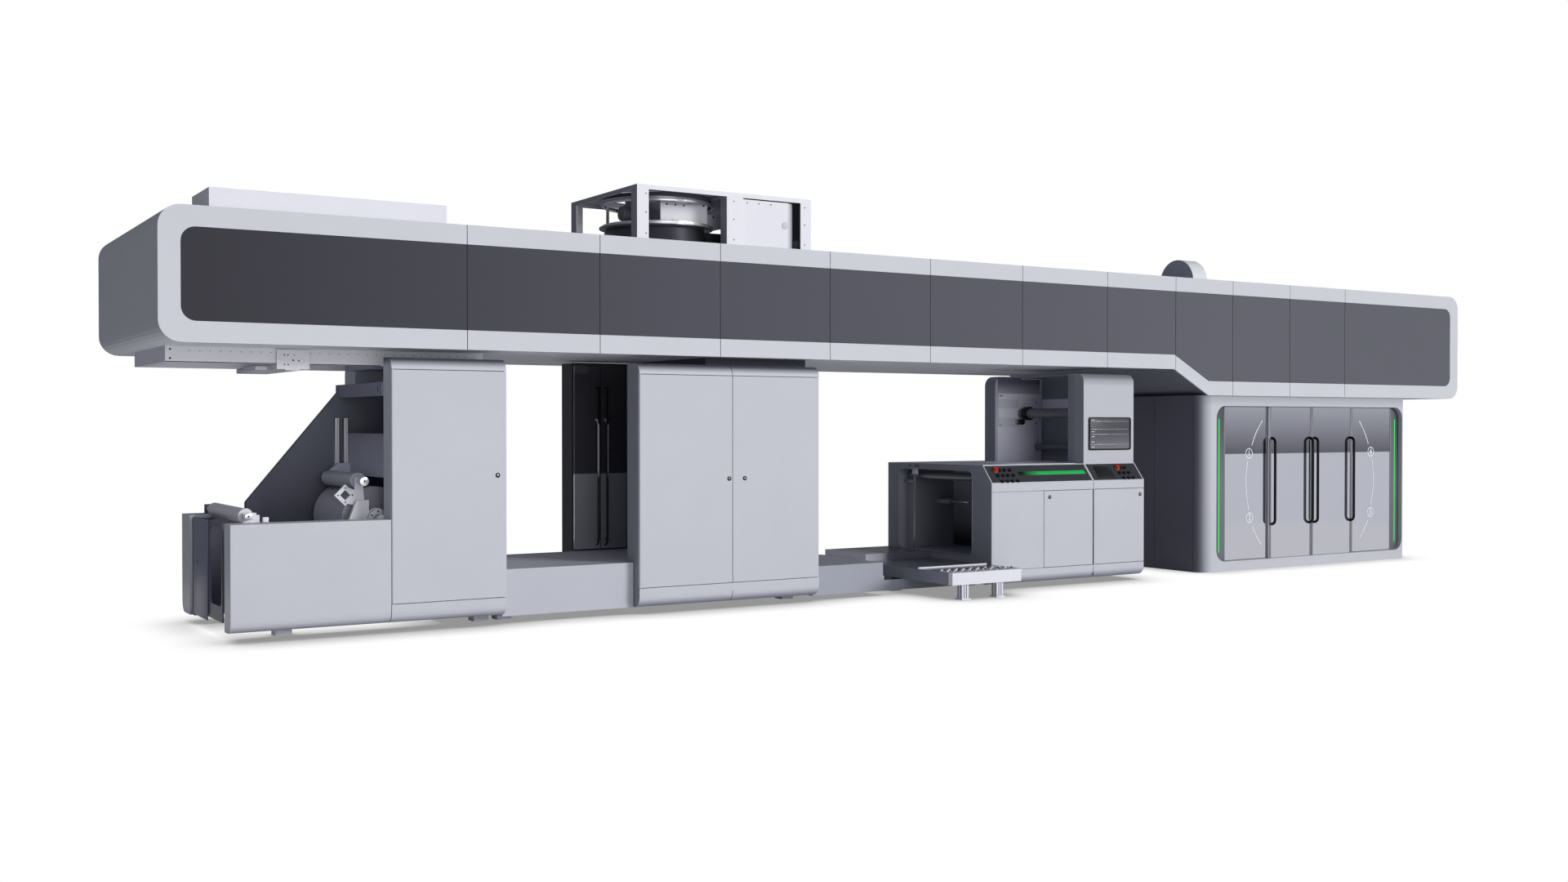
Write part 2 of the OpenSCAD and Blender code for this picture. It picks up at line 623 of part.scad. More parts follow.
module glass_door_left() color("#2c2d31") seat() {
    leaf(rear_x + door_t / 2, glass_split - door_gap / 2, rear_y, glass_bottom, glass_top);
    loop_pull(glass_split - loop_in, rear_y, loop_z0, loop_z1);
}
module glass_door_right() color("#2c2d31") seat() {
    leaf(glass_end - door_t / 2, glass_split + door_gap / 2, rear_y, glass_bottom, glass_top);
    loop_pull(glass_split + loop_in, rear_y, loop_z0, loop_z1);
}
platform_back = 1200;
platform_z0 = 45;
module platform() color("#b9bac3") seat() {
    block([platform_x, walk_front, platform_z0], [platform_x + platform_len, platform_back, platform_top]);
    block([platform_x + platform_len, walk_front, platform_z0],
        [portal_x, walk_front + 20, base_top - base_t]);
}

// ---- Rewinder ----
housing_z = 70;
rewind_near = 150;
rewind_far = 1400;
rewind_back = 1600;
portal_t = 50;
bay_len = 760;
bay_floor = 335;
bay_top = 1205;
rewind_roller_x = portal_x + 150;
rewind_roller_z = 1128;
table_roll_r = 14;
table_beam = 60;        // thickness of the beam along the roll table's front
table_deep = 280;       // from the table's front to the back of its tray
tray_deep = 25;
table_z = base_top - tray_deep + table_roll_r + fit;
table_end = portal_x - 45;
beam_back = -table_reach + table_beam;
module rewind_base() color("#3d3e46") seat() {
    difference() {
        block([base_x, beam_back, base_top - base_t], [portal_x, rewind_back, base_top]);
        block([base_x + 20, beam_back - 1, base_top - tray_deep],
            [table_end - 20, -table_reach + table_deep, base_top + 1]);
    }
    block([base_x + 60, 850, base_top], [portal_x, rewind_back, bay_floor]);
    for (y = [400, 1300])
        block([base_x + 60, y, 0], [base_x + 190, y + foot_w, base_top - base_t]);
}
rail_y = -130;          // low rail behind the roll table
module roll_table() color("#d9dae0") seat() {
    block([base_x, -table_reach, base_top - base_t], [table_end, beam_back, base_top]);
    for (x = [base_x + 130, base_x + 560]) {
        block([x + 10, -table_reach + 30, 12], [x + 90, -table_reach + 110, base_top - base_t]);
        block([x, -table_reach + 15, 0], [x + 110, -table_reach + 125, 12]);
    }
    block([base_x, rail_y, base_top], [table_end, rail_y + 20, base_top + 15]);
    for (x = [base_x + 60:90:table_end - 60])
        rod_y(x, table_z, beam_back - 1, -table_reach + table_deep - clear, table_roll_r);
}
console_plate_t = 4;
module rewind_portal() color("#3d3e46") seat() {
    along_x(console_outline, portal_x, portal_x + console_plate_t);
    difference() {
        block([portal_x, 0, housing_z], [portal_x + portal_t, rewind_back, console_top]);
        along_x(round_rect(rewind_near, bay_floor, rewind_far, bay_top, 70),
            portal_x - 1, portal_x + portal_t + 1);
    }
    difference() {
        block([portal_x + portal_t, rewind_far, housing_z],
            [portal_x + bay_len, rewind_back, console_top]);
        rod_y(rewind_roller_x, rewind_roller_z, rewind_far - 1, rewind_far + 41, idler_journal + fit);
    }
    difference() {
        block([portal_x + portal_t, 0, housing_z], [portal_x + bay_len, rewind_near, console_top]);
        rod_y(rewind_roller_x, rewind_roller_z, rewind_near - 41, rewind_near + 1, idler_journal + fit);
    }
    block([portal_x + portal_t, rewind_near, bay_top], [portal_x + bay_len, rewind_far, console_top]);
    block([portal_x + portal_t, rewind_near, housing_z], [portal_x + bay_len, rewind_far, bay_floor]);
}
module rewind_roller() color("#57575d") seat() {
    rod_y(rewind_roller_x, rewind_roller_z, rewind_near + clear, rewind_far - clear, rewind_r);
    rod_y(rewind_roller_x, rewind_roller_z, rewind_near - 40 + fit, rewind_far + 40 - fit, idler_journal);
}
module rewind_housing() color("#3d3e46") seat()
    block([portal_x + bay_len, 0, housing_z], [console_end, rewind_back, console_top]);

// ---- Consoles ----
console_z0 = 55;
console_seam_hi = 995;
console_seam_lo = 196;
console_split = portal_x + 698;
panel_t = 8;
// A point on the console's slope, from its top edge at 0 to its shelf edge at 1
function slope_at(t) = [-4 - t * (console_out - 4), console_top - t * panel_drop];
function slope_plate(out) = [slope_at(0.04) - [out, 0], slope_at(0.04) + [panel_t, 0],
    slope_at(0.96) + [panel_t, 0], slope_at(0.96) - [out, 0]];
console_edge = 90;
console_outline = concat([[0, console_z0], [0, console_top], slope_at(0), slope_at(1)],
    arc([-console_out + console_edge, console_z0 + console_edge], console_edge, 180, 270));
module console_body(x0, x1)
    difference() {
        along_x(console_outline, x0, x1);
        along_x(slope_plate(40), x0 + 12, x1 - 12);
    }
door_pocket_y = -console_out + door_t + door_gap;
module console_cabinet() color("#c0c1c9") seat() {
    difference() {
        union() {
            console_body(portal_x + console_plate_t, split_x - slit / 2);
            console_body(split_x + slit / 2, console_end);
        }
        block([console_split, -console_out - 1, console_seam_lo],
            [split_x + slit, door_pocket_y, console_seam_hi]);
        for (z = [console_seam_lo, console_seam_hi - door_gap])
            block([portal_x, -console_out - 1, z], [console_split + 1, -console_out + seam_deep, z + door_gap]);
        block([split_x - slit, -console_out - 1, console_seam_lo],
            [console_end + 1, door_pocket_y, console_seam_hi]);
        block([console_split + wall, door_pocket_y - 1, console_seam_lo + 20],
            [split_x - wall, -wall, console_seam_hi - 20]);
        block([split_x + wall, door_pocket_y - 1, console_seam_lo + 20],
            [console_end - wall, -wall, console_seam_hi - 20]);
    }
    for (x = [console_hinge_left, console_hinge_right]) {
        rod_z(x, console_axis_y, console_seam_lo - 1, console_seam_lo + door_gap + pin_h, pin_r);
        rod_z(x, console_axis_y, console_seam_hi - door_gap - pin_h, console_seam_hi + 1, pin_r);
    }
}
console_axis_y = -console_out + door_t / 2;
console_hinge_left = split_x - slit / 2 - door_t / 2;
console_hinge_right = split_x + slit / 2 + door_t / 2;
module console_door_left() color("#c4c5cc") seat()
    leaf(console_hinge_left, console_split + door_gap, -console_out,
        console_seam_lo + door_gap, console_seam_hi - door_gap);
module console_door_right() color("#c4c5cc") seat()
    leaf(console_hinge_right, console_end, -console_out,
        console_seam_lo + door_gap, console_seam_hi - door_gap);
module sloped_panel(x0, x1) along_x(slope_plate(0), x0 + 12, x1 - 12);

// ---- Tower over the right console ----
tower_depth = 142;
tower_edge = 90;
screen_z0 = 1404;
screen_z1 = 1752;
screen_margin = 72;
tower_x1 = console_end - 6;
module tower_cover() color("#c0c1c9") seat()
    difference() {
        along_x(concat([[tower_depth, console_top], [0, console_top]],
            arc([tower_edge, cabinet_top - tower_edge], tower_edge, 180, 90),
            [[tower_depth, cabinet_top]]), split_x, tower_x1);
        block([split_x + screen_margin, -1, screen_z0], [tower_x1 - screen_margin + 12, 10, screen_z1]);
    }
module control_panels() color("#2c2d31") seat() {
    sloped_panel(portal_x + console_plate_t, split_x - slit / 2);
    sloped_panel(split_x + slit / 2, console_end);
    block([split_x + screen_margin, 2, screen_z0], [tower_x1 - screen_margin + 12, 10, screen_z1]);
}
wing_x = split_x - 144;
wing_y = 1270;
wing_t = 180;
tower_near = 240;
tower_shaft_z = 1800;
tower_roller_z = 1420;
tower_shaft_x = split_x + 235;
tower_roller_x = split_x + 475;
tower_wall_x = split_x + 555;
module tower_frame() color("#3d3e46") seat() {
    difference() {
        union() {
            along_y(concat([[tower_x1, console_top], [tower_x1, cabinet_top]],
                arc([wing_x + 110, cabinet_top - 110], 110, 90, 180), [[wing_x, console_top]]),
                wing_y, wing_y + wing_t);
            block([split_x, tower_depth, console_top], [tower_x1, tower_near, cabinet_top]);
        }
        for (y = [wing_y - 1, tower_near - 60]) {
            rod_y(tower_shaft_x, tower_shaft_z, y, y + 61, idler_journal + fit);
            rod_y(tower_roller_x, tower_roller_z, y, y + 61, idler_journal + fit);
        }
    }
    block([tower_wall_x, tower_near, console_top], [tower_x1, wing_y, cabinet_top]);
}
module tower_shaft() color("#34353b") seat() {
    rod_y(tower_shaft_x, tower_shaft_z, tower_near + clear, wing_y - clear, shaft_r);
    rod_y(tower_shaft_x, tower_shaft_z, tower_near - 50, wing_y + 60 - fit, idler_journal);
}
module tower_roller() color("#34353b") seat() {
    rod_y(tower_roller_x, tower_roller_z, tower_near + clear, wing_y - clear, 38);
    rod_y(tower_roller_x, tower_roller_z, tower_near - 50, wing_y + 60 - fit, idler_journal);
}

// ---- Print unit ----
print_front = 20;
print_end = print_x + print_w;
print_edge = 95;
side_seam_y = 710;
glazed_x0 = print_x + 271;
glazed_x1 = glazed_x0 + glazed_w;
glazed_top = deep_under - glazed_head;
pocket_depth = 70;
pocket_back = print_front + pocket_depth;
leaf_w = (glazed_w - 2 * strip_w) / 4;
leaf_x = [for (i = [0:4]) glazed_x0 + strip_w + i * leaf_w];
glass_t = 14;
fixed_y = pocket_back - glass_t;
slide_y = fixed_y - clear - glass_t;
module print_cabin() color("#c0c1c9") seat()
    difference() {
        linear_extrude(deep_under)
            polygon(concat([[print_end, print_front], [print_end, bridge_depth], [print_x, bridge_depth]],
                arc([print_x + print_edge, print_front + print_edge], print_edge, 180, 270)));
        along_y(round_rect(glazed_x0, glazed_sill, glazed_x1, glazed_top, glazed_corner),
            print_front - 1, pocket_back);
        for (y = [print_front + print_edge, side_seam_y])
            block([print_x - 1, y, -1], [print_x + seam_deep, y + slit, deep_under + 1]);
    }
strip_y = fixed_y + 4;
module print_fixed_glass() color("#9b9ca5") seat() {
    for (i = [0, 3])
        block([leaf_x[i] + 2, fixed_y, glazed_sill + 2], [leaf_x[i + 1] - 2, pocket_back, glazed_top - 2]);
    intersection() {
        along_y(round_rect(glazed_x0 + 2, glazed_sill + 2, glazed_x1 - 2, glazed_top - 2, glazed_corner - 2),
            strip_y, pocket_back);
        union() {
            block([glazed_x0, 0, 0], [leaf_x[0] - 2, pocket_back + 1, deep_under]);
            block([leaf_x[4] + 2, 0, 0], [glazed_x1, pocket_back + 1, deep_under]);
        }
    }
}
module sliding_leaf(i)
    block([leaf_x[i] + 3, slide_y, glazed_sill + fit], [leaf_x[i + 1] - 3, slide_y + glass_t, glazed_top - 6]);
module print_door_left() color("#a5a6ae") seat() sliding_leaf(1);
module print_door_right() color("#a5a6ae") seat() sliding_leaf(2);
pull_z0 = 506;
pull_in = 45;           // from a leaf's edge to its pull
pull_r = 15;
module pull(x) {
    for (z = [pull_z0, pull_z0 + pull_len])
        rod_y(x, z, slide_y - pull_out, slide_y, pull_r);
    rod_z(x, slide_y - pull_out, pull_z0, pull_z0 + pull_len, pull_r);
}
module print_pulls_left() color("#17181b") seat() {
    pull(leaf_x[1] + pull_in);
    pull(leaf_x[2] - pull_in);
}
module print_pulls_right() color("#17181b") seat() {
    pull(leaf_x[2] + pull_in);
    pull(leaf_x[3] - pull_in);
}
module light_strips() color("#2ccc60") seat()
    for (x = [glazed_x0 + 90, glazed_x1 - 90])
        block([x, strip_y - 10, glazed_sill + 101], [x + 14, strip_y, glazed_top - 148]);

bridge_body();
bridge_front_panels();
bridge_front_band();
bridge_rear_panels();
roof_tray();
fan_frame();
fan_housing();
fan_duct();
roof_hood();
hoist_rails();
hoist_trolley();
machine_feet();
unwind_covers();
unwind_near_frame();
unwind_far_frame();
unwind_roll();
lay_on_roller();
lay_on_arms();
idler_roller();
column_cabinet();
column_door();
column_crosshead();
column_rear_cover();
walkway();
middle_cabinet();
middle_door_left();
middle_door_right();
rear_cabinet();
middle_housing();
glass_door_left();
glass_door_right();
platform();
rewind_base();
roll_table();
rewind_portal();
rewind_roller();
rewind_housing();
console_cabinet();
console_door_left();
console_door_right();
control_panels();
tower_cover();
tower_frame();
tower_shaft();
tower_roller();
print_cabin();
print_fixed_glass();
print_door_left();
print_door_right();
print_pulls_left();
print_pulls_right();
light_strips();
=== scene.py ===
# %% [markdown]
# A central impression flexo press, dressed over its solid model. The machine is a long closed bridge
# housing on cabinets, with an unwinder, a rewinder with consoles, and a glazed print unit at its right end.
# Its frames, doors and housings come in as solids in one fixed frame, in metres, because they carry and
# move. What is made here is their finish and the small trim. Details are placed from the piece that carries
# them, or measured from the bridge's left end and its front, which are looked up here.

# %% Load the machine
import math

import bpy
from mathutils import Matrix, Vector


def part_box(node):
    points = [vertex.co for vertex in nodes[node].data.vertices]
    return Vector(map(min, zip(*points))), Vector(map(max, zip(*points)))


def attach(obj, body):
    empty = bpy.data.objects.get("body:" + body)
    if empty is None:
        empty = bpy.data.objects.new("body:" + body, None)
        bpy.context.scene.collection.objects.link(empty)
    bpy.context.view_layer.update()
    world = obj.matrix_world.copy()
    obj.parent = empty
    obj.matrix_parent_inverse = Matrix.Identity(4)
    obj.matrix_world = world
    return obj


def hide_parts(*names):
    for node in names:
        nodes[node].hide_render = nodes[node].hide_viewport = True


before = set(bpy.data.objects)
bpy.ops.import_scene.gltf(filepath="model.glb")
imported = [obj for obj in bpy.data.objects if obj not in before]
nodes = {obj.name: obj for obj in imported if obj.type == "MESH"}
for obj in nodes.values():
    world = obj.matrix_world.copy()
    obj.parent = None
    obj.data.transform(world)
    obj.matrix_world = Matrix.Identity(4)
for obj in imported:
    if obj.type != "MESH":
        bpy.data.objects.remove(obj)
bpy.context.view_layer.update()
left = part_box("bridge_body")[0].x
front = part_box("bridge_front_panels")[0].y
print("bridge's left end at", round(left, 3), "and its front at", round(front, 3))

# %% [markdown]
# The camera stands to the left of the unwinder at eye height, and looks along the machine. A Track To
# constraint could aim it, but two angles say the same and are easy to read. A camera without turns looks
# straight down, so it is first tipped up and then turned. The Standard view keeps a colour as it was
# chosen.

# %% Camera
eye = (-10.029, -13.038, 1.678)
look_down, look_right = 0.63, 32.43
scene = bpy.context.scene
scene.view_settings.view_transform = "Standard"
camera_data = bpy.data.cameras.new("eye_height")
camera_data.sensor_width = 36
camera_data.lens = 35
camera = bpy.data.objects.new("eye_height", camera_data)
scene.collection.objects.link(camera)
camera.location = eye
camera.rotation_euler = (math.radians(90 - look_down), 0, math.radians(-look_right))
scene.camera = camera
print("camera at", eye)

# %% [markdown]
# A machine hall is lit by wide, soft light. Area lamps overhead would be the literal way, but their light
# fades along sixteen metres of machine, and a sun's doesn't. The main sun stands in front of the machine,
# to the right, with a large disc that softens its shadows. A weaker one stands almost straight in front and
# low, and reaches under the bridge.

# %% Lamps
def sun(name, come_from, energy, spread):
    """A sun lamp that shines from a direction, with the width of its disc in degrees."""
    data = bpy.data.lights.new(name, "SUN")
    data.energy = energy
    data.angle = math.radians(spread)
    lamp = bpy.data.objects.new(name, data)
    scene.collection.objects.link(lamp)
    lamp.rotation_euler = Vector(come_from).to_track_quat("Z", "Y").to_euler()
    return lamp


hall_light = sun("hall_light", (0.55, -0.80, 0.30), 1.98, 20)
door_light = sun("door_light", (-0.10, -1.00, 0.06), 0.87, 40)
print("lamps", [lamp.name for lamp in (hall_light, door_light)])

# %% [markdown]
# The hall around the machine adds a faint blue fill. A picture of a hall could light the scene, but a plain
# colour needs no file and puts no odd reflections on the paint. Only the camera sees plain white in place
# of it, which Light Path tells apart. A world is a tree of nodes, as a material is: one helper empties
# either, and another adds a node to it.

# %% Surroundings
def emptied(owner, output):
    """The node tree of a world or material with nothing in it but an output."""
    owner.use_nodes = True
    owner.node_tree.nodes.clear()
    return owner.node_tree, add(owner.node_tree, output)


def add(tree, kind, **values):
    """A new node in a tree. A value's name is that of its input, with _ for a blank."""
    node = tree.nodes.new("ShaderNode" + kind)
    for name, value in values.items():
        node.inputs[name.replace("_", " ")].default_value = value
    return node


world = bpy.data.worlds.new("hall")
scene.world = world
tree, out = emptied(world, "OutputWorld")
fill = add(tree, "Background", Color=(0.88, 0.92, 1.0, 1), Strength=0.2)
white = add(tree, "Background", Color=(1, 1, 1, 1))
path = add(tree, "LightPath")
mix = add(tree, "MixShader")
tree.links.new(path.outputs["Is Camera Ray"], mix.inputs["Fac"])
tree.links.new(fill.outputs[0], mix.inputs[1])
tree.links.new(white.outputs[0], mix.inputs[2])
tree.links.new(mix.outputs[0], out.inputs["Surface"])
print("nodes in the world", len(tree.nodes))

# %% [markdown]
# The floor is a plane just under the machine. A plain pale floor would turn grey at its far end, so the
# camera sees it as pure white, darkened only where the machine stands close over it: the Ambient Occlusion
# node measures that within half a metre. Mirrors see that white floor too, so the larger of the two ray
# tests picks it. Light that bounces softly meets a pale matt floor instead.

# %% Floor
bpy.ops.object.select_all(action="DESELECT")
bpy.ops.mesh.primitive_plane_add(size=1, location=(0, -1.5, -0.001))
floor = bpy.context.object
floor.name = "hall_floor"
bpy.ops.object.mode_set(mode="EDIT")
bpy.ops.transform.resize(value=(24, 10, 1))
bpy.ops.mesh.subdivide(number_cuts=6)
bpy.ops.object.mode_set(mode="OBJECT")
bpy.ops.object.transform_apply(location=True, rotation=True, scale=True)
floor_paint = bpy.data.materials.new("hall_floor")
tree, out = emptied(floor_paint, "OutputMaterial")
lit = add(tree, "BsdfDiffuse", Color=(0.94, 0.94, 0.96, 1))
seen = add(tree, "Emission")
near = add(tree, "AmbientOcclusion", Distance=0.5)
near.samples = 16
soften = add(tree, "MapRange", From_Min=0.25, From_Max=0.97, To_Min=0.30)
path = add(tree, "LightPath")
either = add(tree, "Math")
either.operation = "MAXIMUM"
mix = add(tree, "MixShader")
tree.links.new(near.outputs["AO"], soften.inputs["Value"])
tree.links.new(soften.outputs["Result"], seen.inputs["Strength"])
tree.links.new(path.outputs["Is Camera Ray"], either.inputs[0])
tree.links.new(path.outputs["Is Glossy Ray"], either.inputs[1])
tree.links.new(either.outputs[0], mix.inputs["Fac"])
tree.links.new(lit.outputs[0], mix.inputs[1])
tree.links.new(seen.outputs[0], mix.inputs[2])
tree.links.new(mix.outputs[0], out.inputs["Surface"])
floor.data.materials.append(floor_paint)
print("floor", tuple(round(v, 1) for v in floor.dimensions))

# %% [markdown]
# A mirror shows what stands opposite, so mirror glass needs something to show. A whole lit hall could be
# modelled for it, but one white card does, as it does in a studio. This one stands far off to the front and
# right, where the glass of the print unit reflects it into the camera. It is shown to glossy rays alone, so
# it casts no shadow and puts no light on a matt paint.

# %% Card for the mirror glass
bpy.ops.object.select_all(action="DESELECT")
bpy.ops.mesh.primitive_plane_add(size=1, location=(17.0, -12.0, 3.0))
card = bpy.context.object
card.name = "white_card"
card.rotation_euler = (math.radians(90), 0, math.radians(45))
card.scale = (22, 12, 1)
bpy.ops.object.transform_apply(location=True, rotation=True, scale=True)
for ray in ("visible_camera", "visible_diffuse", "visible_shadow", "visible_transmission"):
    setattr(card, ray, False)
card_paint = bpy.data.materials.new("white_card")
tree, out = emptied(card_paint, "OutputMaterial")
shine = add(tree, "Emission", Color=(0.95, 0.96, 1.0, 1))
tree.links.new(shine.outputs[0], out.inputs["Surface"])
card.data.materials.append(card_paint)
print("card", tuple(round(v, 1) for v in card.dimensions))

# %% [markdown]
# A colour is written as on a paint card, in six hexadecimal digits, while shaders want linear values. A
# surface that mirrors a lighter and a darker part of the hall goes over from one colour into another. That
# could be painted on a texture, but two colours and a coordinate that runs between two places do it without
# a file.

# %% Colours
def srgb(card_colour):
    """The linear values that shaders want, for a colour written as on a paint card."""
    parts = [int(card_colour[i:i + 2], 16) / 255 for i in (0, 2, 4)]
    return tuple(c / 12.92 if c <= 0.04045 else ((c + 0.055) / 1.055) ** 2.4 for c in parts)


def blended(tree, under, over, source, axis, start, end):
    """One colour going over into another, as a coordinate of the source runs from start to end."""
    split = add(tree, "SeparateXYZ")
    tree.links.new(source, split.inputs[0])
    along = add(tree, "MapRange", From_Min=start, From_Max=end)
    tree.links.new(split.outputs[axis], along.inputs["Value"])
    blend = add(tree, "Mix")
    blend.data_type = "RGBA"
    tree.links.new(along.outputs["Result"], blend.inputs["Factor"])
    for side, value in (("A", under), ("B", over)):
        if isinstance(value, bpy.types.NodeSocket):
            tree.links.new(value, blend.inputs[side])
        else:
            blend.inputs[side].default_value = (*srgb(value), 1)
    return blend.outputs["Result"]


print("middle grey in linear values", [round(c, 3) for c in srgb("808080")])

# %% [markdown]
# Powder coat isn't one flat colour: it has faint clouds from spraying, a roughness that wanders, and the
# fine pebble of orange peel. Scanned textures could show that, but noise needs no file and no unwrapping.
# All three come from noise on Object coordinates, which are metres here, so a scale of 2 gives clouds half
# a metre wide. One helper makes every paint. A second colour can fade in along an axis, and another can
# cover the faces turned one way. Below, these two mostly carry painted light and shade.

# %% Paint helper
def coat(name, colour, *wearers, rough=0.42, metallic=0.0, cloud=0.03, peel=0.12, specular=0.12, fades=(),
         backs=()):
    """A sprayed finish, and the nodes of the solid model that wear it.

    A fade is (axis, from, to, colour). A back is (axis, colour of the faces turned against it), with a fade
    of its own after them where that colour changes along the part.
    """
    paint = bpy.data.materials.new(name)
    paint.use_nodes = True
    tree = paint.node_tree
    link = tree.links.new
    shader = tree.nodes["Principled BSDF"]
    shader.inputs["Metallic"].default_value = metallic
    shader.inputs["Specular IOR Level"].default_value = specular
    place = add(tree, "TexCoord")
    clouds = add(tree, "TexNoise", Scale=2.2, Detail=4)
    link(place.outputs["Object"], clouds.inputs["Vector"])
    tones = add(tree, "Mix")
    tones.data_type = "RGBA"
    tones.inputs["A"].default_value = (*[c * (1 - cloud) for c in srgb(colour)], 1)
    tones.inputs["B"].default_value = (*[min(c * (1 + cloud), 1) for c in srgb(colour)], 1)
    link(clouds.outputs["Fac"], tones.inputs["Factor"])
    final = tones.outputs["Result"]
    for axis, start, end, second in fades:
        final = blended(tree, final, second, place.outputs["Object"], axis, start, end)
    for axis, other, *change in backs:
        for along, start, end, second in change:
            other = blended(tree, other, second, place.outputs["Object"], along, start, end)
        final = blended(tree, final, other, place.outputs["Normal"], axis, -0.4, -0.9)
    link(final, shader.inputs["Base Color"])
    wander = add(tree, "MapRange", To_Min=max(rough - 0.05, 0.02), To_Max=rough + 0.05)
    link(clouds.outputs["Fac"], wander.inputs["Value"])
    link(wander.outputs["Result"], shader.inputs["Roughness"])
    pebble = add(tree, "TexNoise", Scale=260)
    link(place.outputs["Object"], pebble.inputs["Vector"])
    bump = add(tree, "Bump", Strength=peel, Distance=0.0006)
    link(pebble.outputs["Fac"], bump.inputs["Height"])
    link(bump.outputs["Normal"], shader.inputs["Normal"])
    for wearer in wearers:
        slots = nodes[wearer].data.materials
        slots.clear()
        slots.append(paint)
    return paint


print("materials so far", len(bpy.data.materials))

# %% [markdown]
# The cabinets carry a silver grey coat, and the bridge's border a lighter one. The cabinets darken at the
# foot and up under the bridge: painted shade, of their rounded foot and of the bridge over them. The middle
# cabinet's left side is a painted shade darker, and painted shade makes the doors' left edges in the seams
# and the bridge's front faces behind its panels nearly black. The bridge's underside is nearly white, painted
# light from the floor below, and darkens towards the step as painted shade. The long band in the bridge fades
# lighter towards the far end along X, a painted sheen. Paints could be handed out by a table, but here each
# one names its wearers, so that both are read together.

# %% Paints for the cabinets and the bridge
# painted shade: the cabinets darken at their rounded foot and up under the bridge's overhang
foot_shade = ("Z", 0.135, 0.080, "9092a0")
under_bridge_shade = ("Z", 2.145, 2.200, "4c4e58")
# painted shade: the bridge's underside darkens towards the step
step_shade = ("X", left + 9.30, left + 10.30, "74767f")
coat("silver_grey_coat", "c0c1c9", "unwind_covers", "column_cabinet", "column_door", "column_rear_cover",
     "middle_door_left", "console_cabinet", fades=[foot_shade, under_bridge_shade])
# painted shade: the middle cabinet's left side is a darker grey
coat("cabinet_side_coat", "c0c1c9", "middle_cabinet", fades=[foot_shade, under_bridge_shade], backs=[("X", "8d9096")])
# painted shade: these doors' left edges, in the seams between doors, are nearly black
coat("seam_edge_coat", "c0c1c9", "middle_door_right", "console_door_left", "console_door_right",
     backs=[("X", "1b1b20")])
pale = coat("pale_border_coat", "cacbd2", "bridge_front_panels", "bridge_rear_panels", rough=0.45)
# painted light: the bridge's underside is nearly white, as if lit from the floor below; painted shade: its
# front faces behind the panels are nearly black
coat("bridge_coat", "bcbdc6", "bridge_body", backs=[("Z", "f6f6fb", step_shade), ("Y", "1b1b20")])
# painted sheen: the band grows lighter along X towards the far end
band_middle = left + 4.2925
coat("band_coat", "3c3b42", "bridge_front_band", rough=0.5, cloud=0.04, specular=0.04,
     fades=[("X", left + 0.2925, band_middle, "505059"), ("X", band_middle, left + 11.1925, "606169")])
print("band fades about", round(band_middle, 3))

# %% [markdown]
# The roof's tray, the fan's frame and the duct are sprayed nearly white, and so are the roll table and the
# machine's feet. The fan's posts and the round hood have a greyer left side, which is painted shade. That
# could be left to the lamps, but they are far simpler than a real hall, so the grey is part of the paint.
# The duct darkens at its right edge, where it bends back: painted shade too.

# %% Paints for the roof
roof_white = coat("roof_white_coat", "e3e3ea", "roof_tray", "roll_table", "machine_feet", "unwind_near_frame",
                  "lay_on_arms", rough=0.5)
# painted shade: greyer left sides on the fan's posts and the round hood
coat("fan_post_coat", "e6e6ec", "fan_frame", rough=0.5, backs=[("X", "8d8d97")])
coat("hood_coat", "dddfe3", "roof_hood", rough=0.4, backs=[("X", "9fa1b2")])
duct_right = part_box("fan_duct")[1].x
# painted shade: the duct darkens at its right edge, where it bends back
coat("duct_coat", "e3e3ea", "fan_duct", rough=0.5,
     fades=[("X", duct_right - 0.13, duct_right - 0.02, "4c4d55")])
print("duct ends at", round(duct_right, 3))

# %% [markdown]
# The frames and inner housings are a dark blue grey. They stand in the shade of the bridge, where a single
# colour looks flat, so several of them fade along their height, as painted light and shade. A lamp in each
# bay would do that too, but it would light the neighbours as well. The rewinder's base is lighter at its
# raised left end, painted light, and the print unit's left side is darker than its front, painted shade. The
# tower's cover and the print unit's top darken up under the bridge, and the left sides of the tower's cover
# and the wing are greyer: painted shade too.

# %% Paints for the frames and inner housings
slate = coat("slate_coat", "63646d", rough=0.4, cloud=0.06)
dark_slate = coat("dark_slate_coat", "4c4d56", "middle_housing", cloud=0.10)
# painted light and shade: the far frame grows lighter towards its top
coat("inner_slate_coat", "5b5b69", "unwind_far_frame", rough=0.45, cloud=0.10,
     fades=[("Z", 0.95, 1.75, "6c707b")])
# painted shade: the recess darkens upwards under the bridge; the beam and the block above it get lighter
# bands
coat("recess_coat", "bebfd2", "column_crosshead", rough=0.45, cloud=0.10,
     fades=[("Z", 1.30, 1.80, "575863"), ("Z", 1.896, 1.904, "828396"), ("Z", 2.025, 2.035, "a0a3b7")])
coat("deck_coat", "babbc4", "walkway", rough=0.5)
coat("platform_coat", "9fa1ad", "platform", rough=0.45)
coat("portal_coat", "9395a1", "rewind_portal", rough=0.4, cloud=0.08)
# painted light and shade: the bay is dark low down and nearly white towards its top
coat("bay_coat", "3c3a43", "rewind_housing", rough=0.4, cloud=0.15, fades=[("Z", 0.40, 1.15, "e6e6f0")])
# painted light: the base is lighter at its raised left end, and its left faces are nearly white further back
coat("rewind_base_coat", "5d5e69", "rewind_base", rough=0.25, cloud=0.06, specular=0.5,
     fades=[("X", left + 7.30, left + 7.22, "a6a7b2"), ("Y", front + 0.80, front + 0.70, "5d5e69")],
     backs=[("X", "868996", ("Y", front + 0.70, front + 0.80, "e6e6f0"))])
